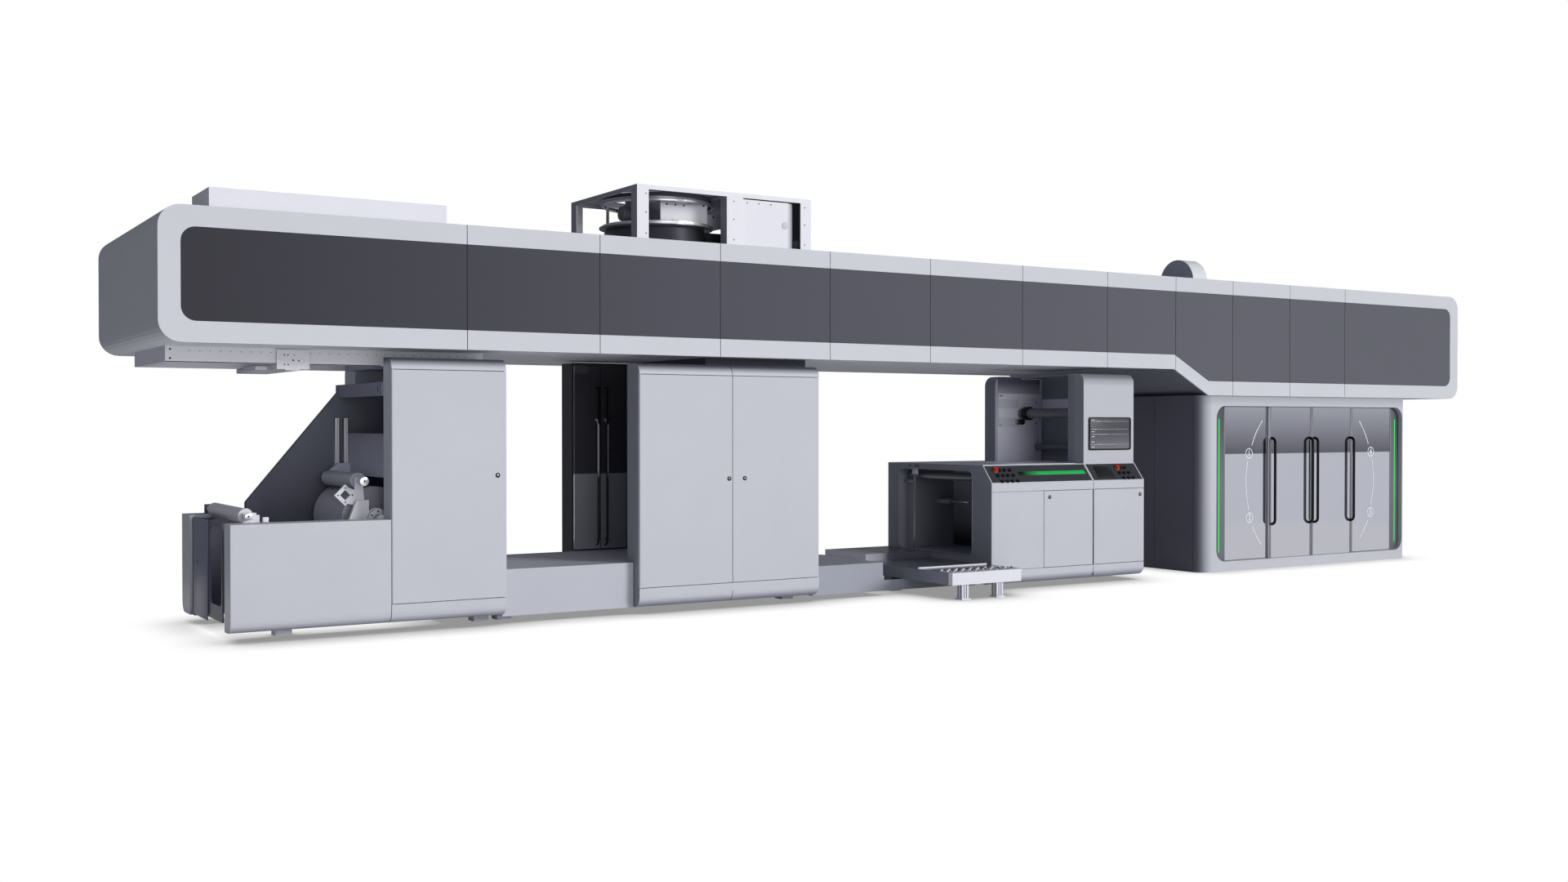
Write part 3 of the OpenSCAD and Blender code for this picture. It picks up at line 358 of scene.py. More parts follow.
# painted shade: the wing's left faces are greyer
coat("wing_coat", "c2c3d0", "tower_frame", rough=0.45, cloud=0.10, backs=[("X", "8a8f99")])
tower_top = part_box("tower_cover")[1].z
# painted shade: the tower's cover darkens at its top under the bridge, and on its left side
coat("tower_coat", "babbc3", "tower_cover", fades=[("Z", tower_top - 0.13, tower_top - 0.03, "7c7d87")],
     backs=[("X", "9898a1")])
cabin_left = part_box("print_cabin")[0].x
# painted shade: the print unit darkens up under the bridge and at its left side
coat("cabin_coat", "c0c1c9", "print_cabin",
     fades=[("Z", 1.88, 2.00, "9fa0aa"), ("X", cabin_left + 0.20, cabin_left + 0.01, "656671")])
print("paints", len(bpy.data.materials))

# %% [markdown]
# Metal parts are next: rails of anodised aluminium, the fan's rolled steel, dark anodised rollers and the
# covered web roll. Metal takes its look from what it mirrors, and here there is little to mirror but the
# floor, so most of these stay closer to a paint than real metal would. The lay-on roller, the idler and the
# web roll are lighter on their left sides, a painted highlight, and the rails' left ends and the drum's
# lowest part are painted shade. The dark doors behind the walkway are smoked acrylic: the pale floor they
# mirror is painted into their lower part as a painted reflection, their left edges are painted nearly black
# as shade, and the square pulls that stand off them are kept nearly black.

# %% Metals and glass
# painted shade: faces turned left on rails, guides and trolley foot are a darker grey
rail_metal = coat("anodised_rail", "f8f8fc", "hoist_rails", "hoist_trolley", backs=[("X", "cccad7")])
# painted shade: the drum is dark in its lowest 0.2 m
drum_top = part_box("fan_housing")[0].z + 0.20
coat("rolled_steel", "a9aab2", "fan_housing", rough=0.3, metallic=0.7,
     fades=[("Z", drum_top, drum_top - 0.01, "4b4c54")])
coat("dark_roller", "76767d", "rewind_roller", "tower_shaft", "tower_roller", rough=0.35, metallic=0.2,
     specular=0.4)
# painted highlight: faces turned left are lighter
roller_grey = coat("grey_roller", "a5a6af", "lay_on_roller", rough=0.35, specular=0.4,
                   backs=[("X", "bdbfc9")])
# painted highlight: the idler is lighter on its left side
coat("light_roller", "d2d1d8", "idler_roller", rough=0.3, specular=0.4, backs=[("X", "dcdae2")])
# painted light: the web roll is lighter on its left side
coat("roll_cover", "8e8e98", "unwind_roll", rough=0.5, cloud=0.08, backs=[("X", "b4b4c0")])
coat("black_panel", "393a40", "control_panels", rough=0.35)
# painted reflection: the lower part is light, as it mirrors the floor; painted shade: the left edges are
# nearly black
coat("smoked_acrylic", "bcbdc2", "glass_door_left", "glass_door_right", rough=0.04, metallic=0.5, peel=0.01,
     fades=[("Z", 1.195, 1.203, "55545a"), ("Y", front + 1.475, front + 1.465, "08080a")],
     backs=[("X", "1b1b20")])
coat("smoked_wall", "403f44", "rear_cabinet", rough=0.15)
print("paints", len(bpy.data.materials))

# %% [markdown]
# The print unit's glass mirrors the floor below and the hall above. The hall isn't modelled, so its tones
# are written into the glass. The upper part is darkest just over the line where floor and hall meet and
# grows lighter to the top, which two fades along Z describe. The narrow strips at both ends are a darker
# glass, set apart by fades along X. The light strips beside the glass glow green, so their shader is given
# a little emission.

# %% Mirror glass
glass_left, glass_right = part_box("print_fixed_glass")[0].x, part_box("print_fixed_glass")[1].x
strip_left, strip_right = 0.190, 0.160
edge_left, edge_right = glass_left + strip_left, glass_right - strip_right
coat("mirror_acrylic", "b8b9c1", "print_fixed_glass", "print_door_left", "print_door_right", rough=0.03,
     metallic=0.9, peel=0.01, cloud=0.02,
     fades=[("Z", 1.330, 1.340, "5e5e66"), ("Z", 1.340, 1.850, "9a9ba4"),
            ("X", edge_left, edge_left - 0.002, "65666c"), ("X", edge_right, edge_right + 0.002, "65666c")])
pull_black = coat("pull_black", "0c0d10", "print_pulls_left", "print_pulls_right", rough=0.35)
glow = coat("green_light", "2ccc60", "light_strips", rough=0.4)
shining = glow.node_tree.nodes["Principled BSDF"]
shining.inputs["Emission Color"].default_value = (*srgb("30d050"), 1)
shining.inputs["Emission Strength"].default_value = 0.45
print("finished nodes", sum(bool(o.data.materials) for o in nodes.values()), "of", len(nodes))

# %% [markdown]
# Every detail below starts as a simple shape, is worked on, and ends in the same way: its place goes into
# its mesh, it gets a paint, and it is told which moving part of the machine it rides on. A Bevel modifier
# could stay live on each piece, but applied it gives the mesh itself its broken edges. Places are measured
# like the machine's: X from the bridge's left end, Y back from its front, and Z up from the floor.

# %% Places and finishing
def spot(x, y, z):
    """A place measured like the machine's, in the scene's own metres."""
    return Vector((left + x, front + y, z))


def low(node):
    """A node's lowest corner, measured like the machine."""
    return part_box(node)[0] - spot(0, 0, 0)


def high(node):
    """A node's highest corner, measured like the machine."""
    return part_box(node)[1] - spot(0, 0, 0)


def middle_of(node):
    """The middle of a node, measured like the machine."""
    return (low(node) + high(node)) / 2


def done(name, paint, body="machine", bevel=0.0, segments=2):
    """Round the edges of the active object, fix its place in its mesh, paint it and let it ride."""
    piece = bpy.context.object
    piece.name = name
    piece.data.name = name
    bpy.ops.object.transform_apply(location=True, rotation=True, scale=True)
    if bevel:
        edge = piece.modifiers.new("edge", "BEVEL")
        edge.width = bevel
        edge.segments = segments
        edge.limit_method = "ANGLE"
        bpy.ops.object.modifier_apply(modifier="edge")
        bpy.ops.object.shade_smooth_by_angle(angle=math.radians(35))
    piece.data.materials.clear()
    piece.data.materials.append(paint)
    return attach(piece, body)


print("the machine's corner lies at", tuple(round(v, 3) for v in spot(0, 0, 0)))

# %% [markdown]
# The bridge's panels meet at narrow seams, and a black rubber seal closes each of them a little below the
# surface. A dark line in the paint would do from afar, but a real strip in a real gap keeps its shadow from
# every side. The seals are the same but for their length, as the housing hangs lower over the print unit. A
# thin one also parts the two consoles above and below their doors.

# %% Seals
def slab(name, a, b, paint, body="machine", bevel=0.002):
    """A plate or block between two corners, with its edges broken."""
    bpy.ops.object.select_all(action="DESELECT")
    a, b = Vector(a), Vector(b)
    bpy.ops.mesh.primitive_cube_add(size=1, location=spot(*((a + b) / 2)))
    bpy.context.object.scale = b - a
    return done(name, paint, body, bevel)


rubber = coat("black_rubber", "101013", rough=0.6)
half_seam, seal_top = 0.0027, 3.313
seams = (2.390, 3.590, 4.790, 5.990, 7.190, 8.390, 9.590, 10.630, 11.555, 12.535, 13.535)
for i, x in enumerate(seams):
    foot_z = 2.292 if x < 10.6 else 2.282 if x < 11.0 else 2.008
    slab("bridge_seal_%d" % i, (x - half_seam, 0.002, foot_z), (x + half_seam, 0.010, seal_top), rubber,
         bevel=0.0005)
console_front, console_gap = low("console_door_left").y, low("tower_cover").x
for i, (z0, z1) in enumerate(((0.082, 0.196), (0.996, 1.074))):
    slab("console_seal_%d" % i, (console_gap - half_seam, console_front + 0.001, z0),
         (console_gap + half_seam, console_front + 0.008, z1), rubber, bevel=0.0005)
print("seals down to", foot_z)

# %% [markdown]
# What repeats on the machine is made once and copied. An Array modifier would join the copies into one
# piece, and a linked copy would share its mesh, so each copy here gets a mesh of its own. It is moved by
# its mesh's points in edit mode, so that its object stays at the origin, where the noise of its paint is
# measured from.

# %% Copies
def moulded(work, **how):
    """One operator's work on the whole mesh of the active object."""
    bpy.ops.object.mode_set(mode="EDIT")
    bpy.ops.mesh.select_all(action="SELECT")
    work(**how)
    bpy.ops.object.mode_set(mode="OBJECT")


def again(piece, name, offset):
    """A copy of a finished piece with a mesh of its own, moved by an offset."""
    bpy.ops.object.select_all(action="DESELECT")
    piece.select_set(True)
    bpy.context.view_layer.objects.active = piece
    bpy.ops.object.duplicate()
    twin = bpy.context.object
    twin.name = name
    twin.data.name = name
    moulded(bpy.ops.transform.translate, value=offset)


# %% [markdown]
# The consoles lean back like a desk, and their switches are turned parts that stand square to that slope.
# They could be modelled in a tilted view, but it is easier to make each one upright, tip it by the slope's
# angle and move it. The emergency stops are red mushrooms on a yellow plate, the others short black
# buttons, and they stand in rows that a finger can count.

# %% Console switches
black = coat("black_plastic", "141518", rough=0.4, cloud=0.05, specular=0.3)
slope_top = Vector((0, -0.004, 1.260))
slope_foot = Vector((0, -0.150, 1.080))
up_slope = (slope_top - slope_foot).normalized()
off_slope = Vector((0, -up_slope.z, up_slope.y))
slope_turn = (math.atan2(up_slope.z, up_slope.y), 0, 0)
red = coat("stop_red", "c01818", rough=0.35, specular=0.2)
yellow = coat("stop_yellow", "c98a1c", rough=0.4, specular=0.2)


def on_slope(x, z, out):
    """The point of the slope at a height, lifted off it."""
    share = (slope_top.z - z) / (slope_top.z - slope_foot.z)
    return Vector((x, slope_top.y + share * (slope_foot.y - slope_top.y), z)) + off_slope * out


def switch(name, x, z, radius, depth, paint, slot, bevel, start=0.0):
    """A round part square to the slope, which starts at a distance off it."""
    bpy.ops.object.select_all(action="DESELECT")
    bpy.ops.mesh.primitive_cylinder_add(vertices=24, radius=radius, depth=depth, rotation=slope_turn,
                                        location=spot(*on_slope(x, z, start + depth / 2)))
    return done(name, paint, "machine", bevel, 3)


left_rows = ((1.205, (8.041, 8.103, 8.174)), (1.152, (7.982, 8.049, 8.114, 8.186)),
             (1.095, (8.000, 8.069, 8.135, 8.206)))
right_rows = ((1.206, (9.744, 9.799)), (1.153, (9.680, 9.748, 9.817)), (1.098, (9.704, 9.774, 9.841)))
buttons = [(x, z) for z, columns in left_rows + right_rows for x in columns]
first = switch("console_button", *buttons[0], 0.0185, 0.014, rubber, "panel_black", 0.003)
for i, (x, z) in enumerate(buttons[1:], 1):
    again(first, "console_button_%d" % i, on_slope(x, z, 0) - on_slope(*buttons[0], 0))
stop_z = 1.204
for side, x in (("left", 7.979), ("right", 9.680)):
    switch("stop_plate_" + side, x, stop_z, 0.026, 0.006, yellow, "light_green", 0.002)
    switch("stop_neck_" + side, x, stop_z, 0.014, 0.014, black, "panel_black", 0.002, 0.005)
    switch("stop_head_" + side, x, stop_z, 0.027, 0.014, red, "light_green", 0.005, 0.016)
print("buttons", len(buttons))

# %% [markdown]
# A long lit bar runs across the left console, and a small dark display lies in the right one. Both are thin
# plates set on the slope, tipped as the switches are. A pale trim of folded sheet edges the left console,
# along its top and down its two sides. The fold itself is too tight to show, so each side of it is a plate.

# %% Console bar, display and trims
def slope_slab(name, x0, x1, z0, z1, thick, paint):
    """A thin plate on the slope between two heights."""
    bpy.ops.object.select_all(action="DESELECT")
    a, b = on_slope(x0, z0, thick / 2), on_slope(x1, z1, thick / 2)
    bpy.ops.mesh.primitive_cube_add(size=1, location=spot(*((a + b) / 2)), rotation=slope_turn)
    bpy.context.object.scale = (x1 - x0, math.hypot(b.y - a.y, b.z - a.z), thick)
    return done(name, paint, bevel=0.002)


lit_green = coat("lit_green", "2bb258", rough=0.4, fades=[("X", left + 8.55, left + 8.32, "10240f")])
panel_left, panel_split = low("console_cabinet").x, low("tower_cover").x
slope_slab("console_light_bar", 8.271, 9.188, 1.154, 1.190, 0.004, lit_green)
slope_slab("console_display", 9.350, 9.580, 1.108, 1.227, 0.005, black)
for side, x in (("left", panel_left), ("right", panel_split - 0.012)):
    slope_slab("console_trim_" + side, x, x + 0.008, 1.084, 1.258, 0.004, pale)
slab("console_trim_top", (panel_left, -0.012, 1.2595), (panel_split - 0.13, 0.012, 1.267), pale)
print("console trims from", round(panel_left, 3), "to", round(panel_split, 3))

# %% [markdown]
# The tall doors and the console doors have small keyed locks: a dark collar round a steel barrel with a key
# slot. The slot could be cut with a Boolean, but a thin black bar that is half a millimetre proud, the shade
# in the slot painted, looks the same and keeps the barrel's mesh clean. Each lock is built at its own place
# by the same few lines, and rides with its own door. A new cylinder stands upright, so a small table gives
# the turn that lays it along each axis.

# %% Locks
steel = coat("polished_steel", "d4d5da", rough=0.25, metallic=0.6, cloud=0.02, specular=0.4)
# the turn that lays a piece made upright along each axis
along = {"X": (0, math.pi / 2, 0), "Y": (math.pi / 2, 0, 0), "Z": (0, 0, 0)}


def disc(name, centre, radius, depth, paint, body="machine", axis="Y", bevel=0.002, sides=32):
    """A short round piece, such as a cap or a washer, about an axis."""
    bpy.ops.object.select_all(action="DESELECT")
    bpy.ops.mesh.primitive_cylinder_add(vertices=sides, radius=radius, depth=depth, location=spot(*centre),
                                        rotation=along[axis])
    return done(name, paint, body, bevel)


def lock(name, x, y, z, body):
    """A lock on a door's face, with its collar, barrel and key slot."""
    disc(name + "_collar", (x, y - 0.0015, z), 0.021, 0.003, black, body, bevel=0.001)
    disc(name + "_barrel", (x, y - 0.002, z), 0.006, 0.004, steel, body, bevel=0.001)
    slab(name + "_slot", (x - 0.001, y - 0.0045, z - 0.004), (x + 0.001, y - 0.0035, z + 0.004), black,
         body, 0.0003)


door_face = low("column_door").y
lock("column_lock", high("column_door").x - 0.076, door_face, 1.254, "column_door")
lock("middle_lock_left", high("middle_door_left").x - 0.032, door_face, 1.184, "middle_door_left")
lock("middle_lock_right", low("middle_door_right").x + 0.126, door_face, 1.184, "middle_door_right")
lock("console_lock_left", low("console_door_left").x + 0.076, console_front, 0.925, "console_door_left")
lock("console_lock_right", high("console_door_right").x - 0.056, console_front, 0.924, "console_door_right")
print("locks on doors at", round(door_face, 3), "and", round(console_front, 3))

# %% [markdown]
# The operator's screen is let into the tower's front. It has a dark bezel with round corners and a grey
# display, which is left bare but for the plain bars and lines of a page. The display grows lighter towards
# its foot, a painted reflection. A Bevel modifier alone would round every edge alike, so the cube's four
# edges that run front to back are picked in code by where they stand, and rounded before the thin front edges
# are.

# %% Operator's screen
def rounded_plate(name, a, b, corner, paint):
    """A plate whose corners are round when seen from the front."""
    bpy.ops.object.select_all(action="DESELECT")
    bpy.ops.mesh.primitive_cube_add(size=1, location=spot(*((a + b) / 2)))
    plate = bpy.context.object
    plate.scale = b - a
    bpy.ops.object.transform_apply(location=True, rotation=True, scale=True)
    bpy.ops.object.mode_set(mode="EDIT")
    bpy.ops.mesh.select_all(action="DESELECT")
    bpy.ops.object.mode_set(mode="OBJECT")
    for edge in plate.data.edges:
        one, two = (plate.data.vertices[i].co for i in edge.vertices)
        edge.select = abs(one.x - two.x) < 1e-5 and abs(one.z - two.z) < 1e-5
    bpy.ops.object.mode_set(mode="EDIT")
    bpy.ops.mesh.select_mode(type="EDGE")
    bpy.ops.mesh.bevel(offset=corner, segments=6, affect="EDGES")
    bpy.ops.object.mode_set(mode="OBJECT")
    return done(name, paint, bevel=0.0015)


# painted reflection: the display grows lighter towards its foot
display_grey = coat("display_grey", "4b4c52", rough=0.35, cloud=0.05, specular=0.1,
                    fades=[("Z", 1.60, 1.42, "74757c")])
screen_low, screen_high = Vector((9.315, -0.001, 1.402)), Vector((9.927, 0.008, 1.751))
page_low, page_high = Vector((9.335, -0.004, 1.416)), Vector((9.917, -0.001, 1.741))
page_left = 9.355
rounded_plate("screen_bezel", screen_low, screen_high, 0.024, black)
rounded_plate("screen_display", page_low, page_high, 0.018, display_grey)
for i, z in enumerate((1.722, 1.597, 1.545, 1.490, 1.435)):
    slab("screen_mark_%d" % i, (page_left, -0.0055, z - 0.004), (page_left + 0.043, page_low.y, z + 0.004),
         pale, bevel=0.0005)
for i, z in enumerate((1.708, 1.624, 1.570, 1.462)):
    slab("screen_line_%d" % i, (page_left, -0.0052, z - 0.0009), (page_left + 0.540, page_low.y, z + 0.0009),
         steel, bevel=0.0004)
print("screen", round(screen_high.x - screen_low.x, 3), "m wide")

# %% [markdown]
# Marks, pulls and bearings need flat rings and bent rods. A ring could be cut out of a disc, but a circle
# whose edge is extruded outwards and made thick by Solidify has clean faces only. A rod could be extruded
# bend by bend, but a curve with a round section follows all its points at once and is then made a mesh.

# %% Rings and rods
def ring(name, centre, outer, inner, depth, paint, body="machine", axis="Y"):
    """A flat ring: a circle whose edge is extruded outwards, then given thickness."""
    bpy.ops.object.select_all(action="DESELECT")
    bpy.ops.mesh.primitive_circle_add(vertices=48, radius=inner, location=spot(*centre), rotation=along[axis])
    bpy.ops.object.mode_set(mode="EDIT")
    bpy.ops.mesh.select_all(action="SELECT")
    bpy.ops.mesh.extrude_edges_move()
    bpy.ops.transform.resize(value=(outer / inner,) * 3)
    bpy.ops.object.mode_set(mode="OBJECT")
    thick = bpy.context.object.modifiers.new("thick", "SOLIDIFY")
    thick.thickness = depth
    thick.offset = 0
    bpy.ops.object.modifier_apply(modifier="thick")
    return done(name, paint, body, min(0.002, depth / 4))


def tube(name, points, radius, paint, body="machine", closed=False, flat=None):
    """A rod bent along points; flat is how far it is pressed along Y.

    It starts as a curve with a round section and is made a mesh.
    """
    bpy.ops.object.select_all(action="DESELECT")
    line = bpy.data.curves.new(name, "CURVE")
    line.dimensions = "3D"
    line.bevel_depth = radius
    line.bevel_resolution = 3
    line.use_fill_caps = True
    run = line.splines.new("POLY")
    run.points.add(len(points) - 1)
    for place, point in zip(run.points, points):
        place.co = (*spot(*point), 1)
    run.use_cyclic_u = closed
    piece = bpy.data.objects.new(name, line)
    scene.collection.objects.link(piece)
    bpy.context.view_layer.objects.active = piece
    piece.select_set(True)
    bpy.ops.object.convert(target="MESH")
    bpy.ops.object.shade_smooth_by_angle(angle=math.radians(35))
    if flat:
        moulded(bpy.ops.transform.resize, value=(1, flat, 1), center_override=spot(*points[0]))
    return done(name, paint, body)


# %% [markdown]
# Two circled numbers stand on the print unit's outer glass at each side, with thin arcs that lead the eye
# through its stations: one bracket to the left and its mirror to the right. They could be painted into the
# glass, but there they would blur close up. So each number is a text object that is made a mesh and then
# stood up, and the arcs are rods pressed flat against the glass.

# %% Station marks on the print unit
sign = coat("sign_white", "f2f2f6", rough=0.5, cloud=0.01)
glass_face = low("print_fixed_glass").y
mark_out, mark_r, pressed = 0.0012, 0.005, 0.18
mark_y = glass_face - mark_out
mirror_x = middle_of("print_fixed_glass").x + 0.032


def number(digit, x, z):
    """A circled number, stood up against the glass."""
    bpy.ops.object.select_all(action="DESELECT")
    bpy.ops.object.text_add(location=(0, 0, 0))
    text = bpy.context.object
    text.data.body = digit
    text.data.size = 0.100
    text.data.align_x = "CENTER"
    text.data.align_y = "CENTER"
    text.data.extrude = mark_out / 2
    bpy.ops.object.convert(target="MESH")
    piece = bpy.context.object
    piece.location = spot(x, mark_y, z)
    piece.rotation_euler = along["Y"]
    done("station_" + digit, sign)
    ring("station_%s_circle" % digit, (x, mark_y, z), 0.060, 0.051, mark_out, sign)


marks = {
    "upper": ((12.145, 1.721), (12.092, 1.655), (12.042, 1.586), (12.000, 1.512), (11.964, 1.433)),
    "middle": ((11.898, 1.250), (11.880, 1.176), (11.870, 1.104), (11.864, 1.046), (11.864, 0.992),
               (11.869, 0.912), (11.881, 0.835), (11.911, 0.688)),
    "lower": ((11.971, 0.495), (12.003, 0.438), (12.042, 0.385), (12.083, 0.326), (12.129, 0.268)),
}
for part, run in marks.items():
    tube("arc_%s_left" % part, [(x, mark_y, z) for x, z in run], mark_r, sign, flat=pressed)
for part, run in marks.items():
    tube("arc_%s_right" % part, [(2 * mirror_x - x, mark_y, z) for x, z in run], mark_r, sign,
         flat=pressed)
upper_x, upper_z, lower_x, lower_z = 11.918, 1.339, 11.928, 0.591
number("1", upper_x, upper_z)
number("2", lower_x, lower_z)
number("4", 2 * mirror_x - upper_x, upper_z)
number("3", 2 * mirror_x - lower_x, lower_z)
print("glass face at", round(glass_face, 3))

# %% [markdown]
# Each sliding door is pulled by two long bows of black tube. The solid model has them with square ends, and
# a bevel can't make a bend of a square corner, so a bent tube stands for each: out from the glass in a
# quarter circle, up, and back in another. With its mirror image in the glass it reads as a long loop.

# %% Door pulls
def angles(start, end, count):
    """Evenly spaced angles in radians, between two given in degrees."""
    return [math.radians(start + (end - start) * i / count) for i in range(count + 1)]


def bow(x, y, bend, z0, z1, count):
    """The points of a bow: out from y in a quarter circle, up from z0 to z1, and back in another."""
    foot = [(x, y - bend * math.sin(t), z0 + bend - bend * math.cos(t)) for t in angles(0, 90, count)]
    return foot + [(px, py, z0 + z1 - pz) for px, py, pz in reversed(foot)]


bow_r, bow_bend = 0.016, 0.050
for side in ("left", "right"):
    node = "print_pulls_" + side
    a, b = low(node), high(node)
    z0, z1 = a.z + bow_r, b.z - bow_r
    for end, x in (("outer", a.x + bow_r), ("inner", b.x - bow_r)):
        run = bow(x, a.y + bow_r + bow_bend, bow_bend, z0, z1, 6)
        pull = tube("print_pull_%s_%s" % (side, end), [(x, b.y, z0), *run, (x, b.y, z1)], bow_r, pull_black,
                    "print_door_" + side)
        if end == "outer":
            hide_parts(node)
print("pulls", round(b.z - a.z, 3), "m long")

# %% [markdown]
# The print unit's four leaves meet at slim grey profiles. Those at the middle ride on the sliding doors,
# and mullions stand behind them. A drawn section with the real grooves could be extruded, but the grooves
# are too fine to show, so each profile is a plain bar.

# %% Glass profiles
profile_grey = coat("profile_grey", "797a83", rough=0.4)
# painted light: the side of the left door's step is far lighter than the profiles, to lift it out of its
# shade
lit_step_grey = coat("lit_step_grey", "f0f0f5", rough=0.4)
# painted reflection: the end strips grow darker upwards, as the glass beside them does
strip_grey = coat("strip_grey", "6a6f72", rough=0.4, fades=[("Z", 1.00, 1.75, "474c4f")])
glass_low, glass_high = low("print_fixed_glass"), high("print_fixed_glass")
door_low, door_high = low("print_door_left"), high("print_door_left")
right_low, right_high = low("print_door_right"), high("print_door_right")
door_y = door_low.y
z0, z1 = door_low.z + 0.004, door_high.z - 0.004
for name, x0, x1, body in (
        ("edge_left_outer", door_low.x - 0.001, door_low.x + 0.038, "print_door_left"),
        ("edge_left_inner", door_high.x - 0.024, door_high.x + 0.001, "print_door_left"),
        ("edge_right_inner", right_low.x - 0.001, right_low.x + 0.024, "print_door_right"),
        ("edge_right_outer", right_high.x - 0.044, right_high.x, "print_door_right")):
    slab("print_" + name, (x0, door_y - 0.003, z0), (x1, door_y, z1), profile_grey, body,
         0.001)
slab("print_step_left", (door_low.x - 0.003, door_y - 0.003, z0), (door_low.x - 0.001, door_y + 0.013, z1),
     lit_step_grey, "print_door_left", 0.0005)


def upright(name, x0, x1, out, back, paint=profile_grey, bevel=0.001):
    """A bar along the height of the fixed glass, from in front of its face to behind it."""
    slab("print_" + name, (x0, glass_face - out, z0), (x1, glass_face + back, z1), paint,
         bevel=bevel)


for side, x in (("left", door_low.x), ("middle", (door_high.x + right_low.x) / 2), ("right", right_high.x)):
    upright("mullion_" + side, x - 0.024, x + 0.024, 0.002, 0.010)
fixed_left, fixed_right = glass_low.x + strip_left, glass_high.x - strip_right
for side, x in (("left", fixed_left), ("right", fixed_right)):
    upright("edge_fixed_" + side, x - 0.008, x + 0.008, 0.003, 0)
upright("strip_left", glass_low.x + 0.002, fixed_left - 0.008, 0.0025, 0, strip_grey, 0.0008)
upright("strip_right", fixed_right + 0.008, glass_high.x - 0.002, 0.0025, 0, strip_grey, 0.0008)
print("leaves", round(door_low.x, 3), "to", round(right_high.x, 3))

# %% [markdown]
# A dark gasket runs round the whole glazed front. Four rods and four bends could be joined, but one closed
# line with a round section has no joints to hide. Its corners are arcs, and one helper gives the points of
# any frame of this kind.

# %% Gasket
def arc(across, up, radius, start, end, count):
    """Points on a circle about a middle, by angle in degrees, as pairs of across and up."""
    return [(across + radius * math.cos(t), up + radius * math.sin(t)) for t in angles(start, end, count)]


def round_frame(x0, z0, x1, z1, corner, count):
    """Points round an upright rectangle with round corners, as pairs of across and up."""
    left_x, right_x, low_z, high_z = x0 + corner, x1 - corner, z0 + corner, z1 - corner
    return (arc(left_x, low_z, corner, 180, 270, count) + arc(right_x, low_z, corner, 270, 360, count)
            + arc(right_x, high_z, corner, 0, 90, count) + arc(left_x, high_z, corner, 90, 180, count))


outline = round_frame(glass_low.x, glass_low.z, glass_high.x, glass_high.z, 0.135, 8)
tube("print_gasket", [(x, glass_face + 0.002, z) for x, z in outline], 0.006, slate,
     closed=True)
print("gasket", round(glass_high.x - glass_low.x, 3), "by", round(glass_high.z - glass_low.z, 3))

# %% [markdown]
# Behind the tower's front, two plates are screwed to the dark wing wall, with a pale edge strip beside
# them. They could be cut into one sheet by insets, but as thin slabs that lie on each other they keep the
# small steps between them. The recess in a screw head is too small to show, so a head is a black disc with
# a broken edge.

# %% Tower plates
def dots(name, places, radius, depth, body="machine", axis="Y", bevel=0.001, sides=12):
    """Screw heads, rivets or holes: one small black disc at every place."""
    for i, place in enumerate(places):
        disc("%s_%d" % (name, i), place, radius, depth, black, body, axis, bevel, sides)


plate_grey = coat("plate_grey", "e9e9f4", rough=0.4, cloud=0.05)
plate_light = coat("plate_light", "dadbe2", rough=0.4, cloud=0.04)
# painted shade: the wall darkens up under the bridge
wall_grey = coat("wall_grey", "e6e6f3", rough=0.4, cloud=0.10, fades=[("Z", 1.90, 2.15, "6a6b7b")])
wing = low("tower_frame").x
wall_y = 1.270
plate_left, strip_x0, strip_x1 = 9.140, 9.762, 9.790
for name, x0, x1, out, back, z0, z1, paint in (
        ("back_plate", wing + 0.035, strip_x1, 0.003, 0, 1.262, 2.210, wall_grey),
        ("plate", plate_left, strip_x1 + 0.002, 0.012, 0.003, 1.646, 2.024, plate_grey),
        ("plate_band", plate_left, 9.438, 0.016, 0.012, 1.858, 1.959, plate_light),
        ("plate_foot", plate_left, 9.438, 0.016, 0.012, 1.650, 1.752, plate_light),
        ("strip_low", strip_x0, strip_x1, 0.018, 0.003, 1.262, 1.646, pale),
        ("strip_high", strip_x0, strip_x1, 0.018, 0.003, 2.026, 2.196, pale),
        ("strip_top", 9.479, strip_x0, 0.012, 0.003, 2.190, 2.200, plate_light)):
    slab("tower_" + name, (x0, wall_y - out, z0), (x1, wall_y - back, z1), paint)
screws = ((9.165, 2.000), (9.190, 2.000), (9.700, 1.927), (9.700, 1.690), (9.165, 1.670))
dots("tower_screw", [(x, wall_y - 0.014, z) for x, z in screws], 0.008, 0.006, bevel=0.0015,
     sides=16)
print("tower wall at", round(wall_y, 3))

# %% [markdown]
# The tower's winding shaft has a clamping collar and a knob near the wall, and shallow grooves along its
# length. Grooves could be turned into the shaft, but the solid model isn't changed, so a thin grey ring
# marks each of them. A plate with one hole closes the tower's side.

# %% Winding shaft
shaft = middle_of("tower_shaft")
ring("tower_shaft_collar", (shaft.x, 1.150, shaft.z), 0.076, 0.054, 0.070, black, "tower_shaft")
for y in (0.32, 0.50, 0.68, 0.86, 1.04):
    ring("tower_shaft_groove_%d" % round(100 * y), (shaft.x, y, shaft.z), 0.0565, 0.0545, 0.008, profile_grey,
         "tower_shaft")
disc("tower_knob", (9.395, 1.165, 1.705), 0.034, 0.060, black, bevel=0.006)
disc("tower_knob_stem", (9.395, 1.226, 1.705), 0.012, 0.070, steel)
slab("tower_side_plate", (9.792, 0.250, 1.840), (9.799, 1.255, 1.965), plate_grey)
# painted shade: the hole is a black disc
disc("tower_side_hole", (9.791, 0.700, 1.905), 0.022, 0.006, black, axis="X")
print("shaft axis", round(shaft.x, 3), round(shaft.z, 3))

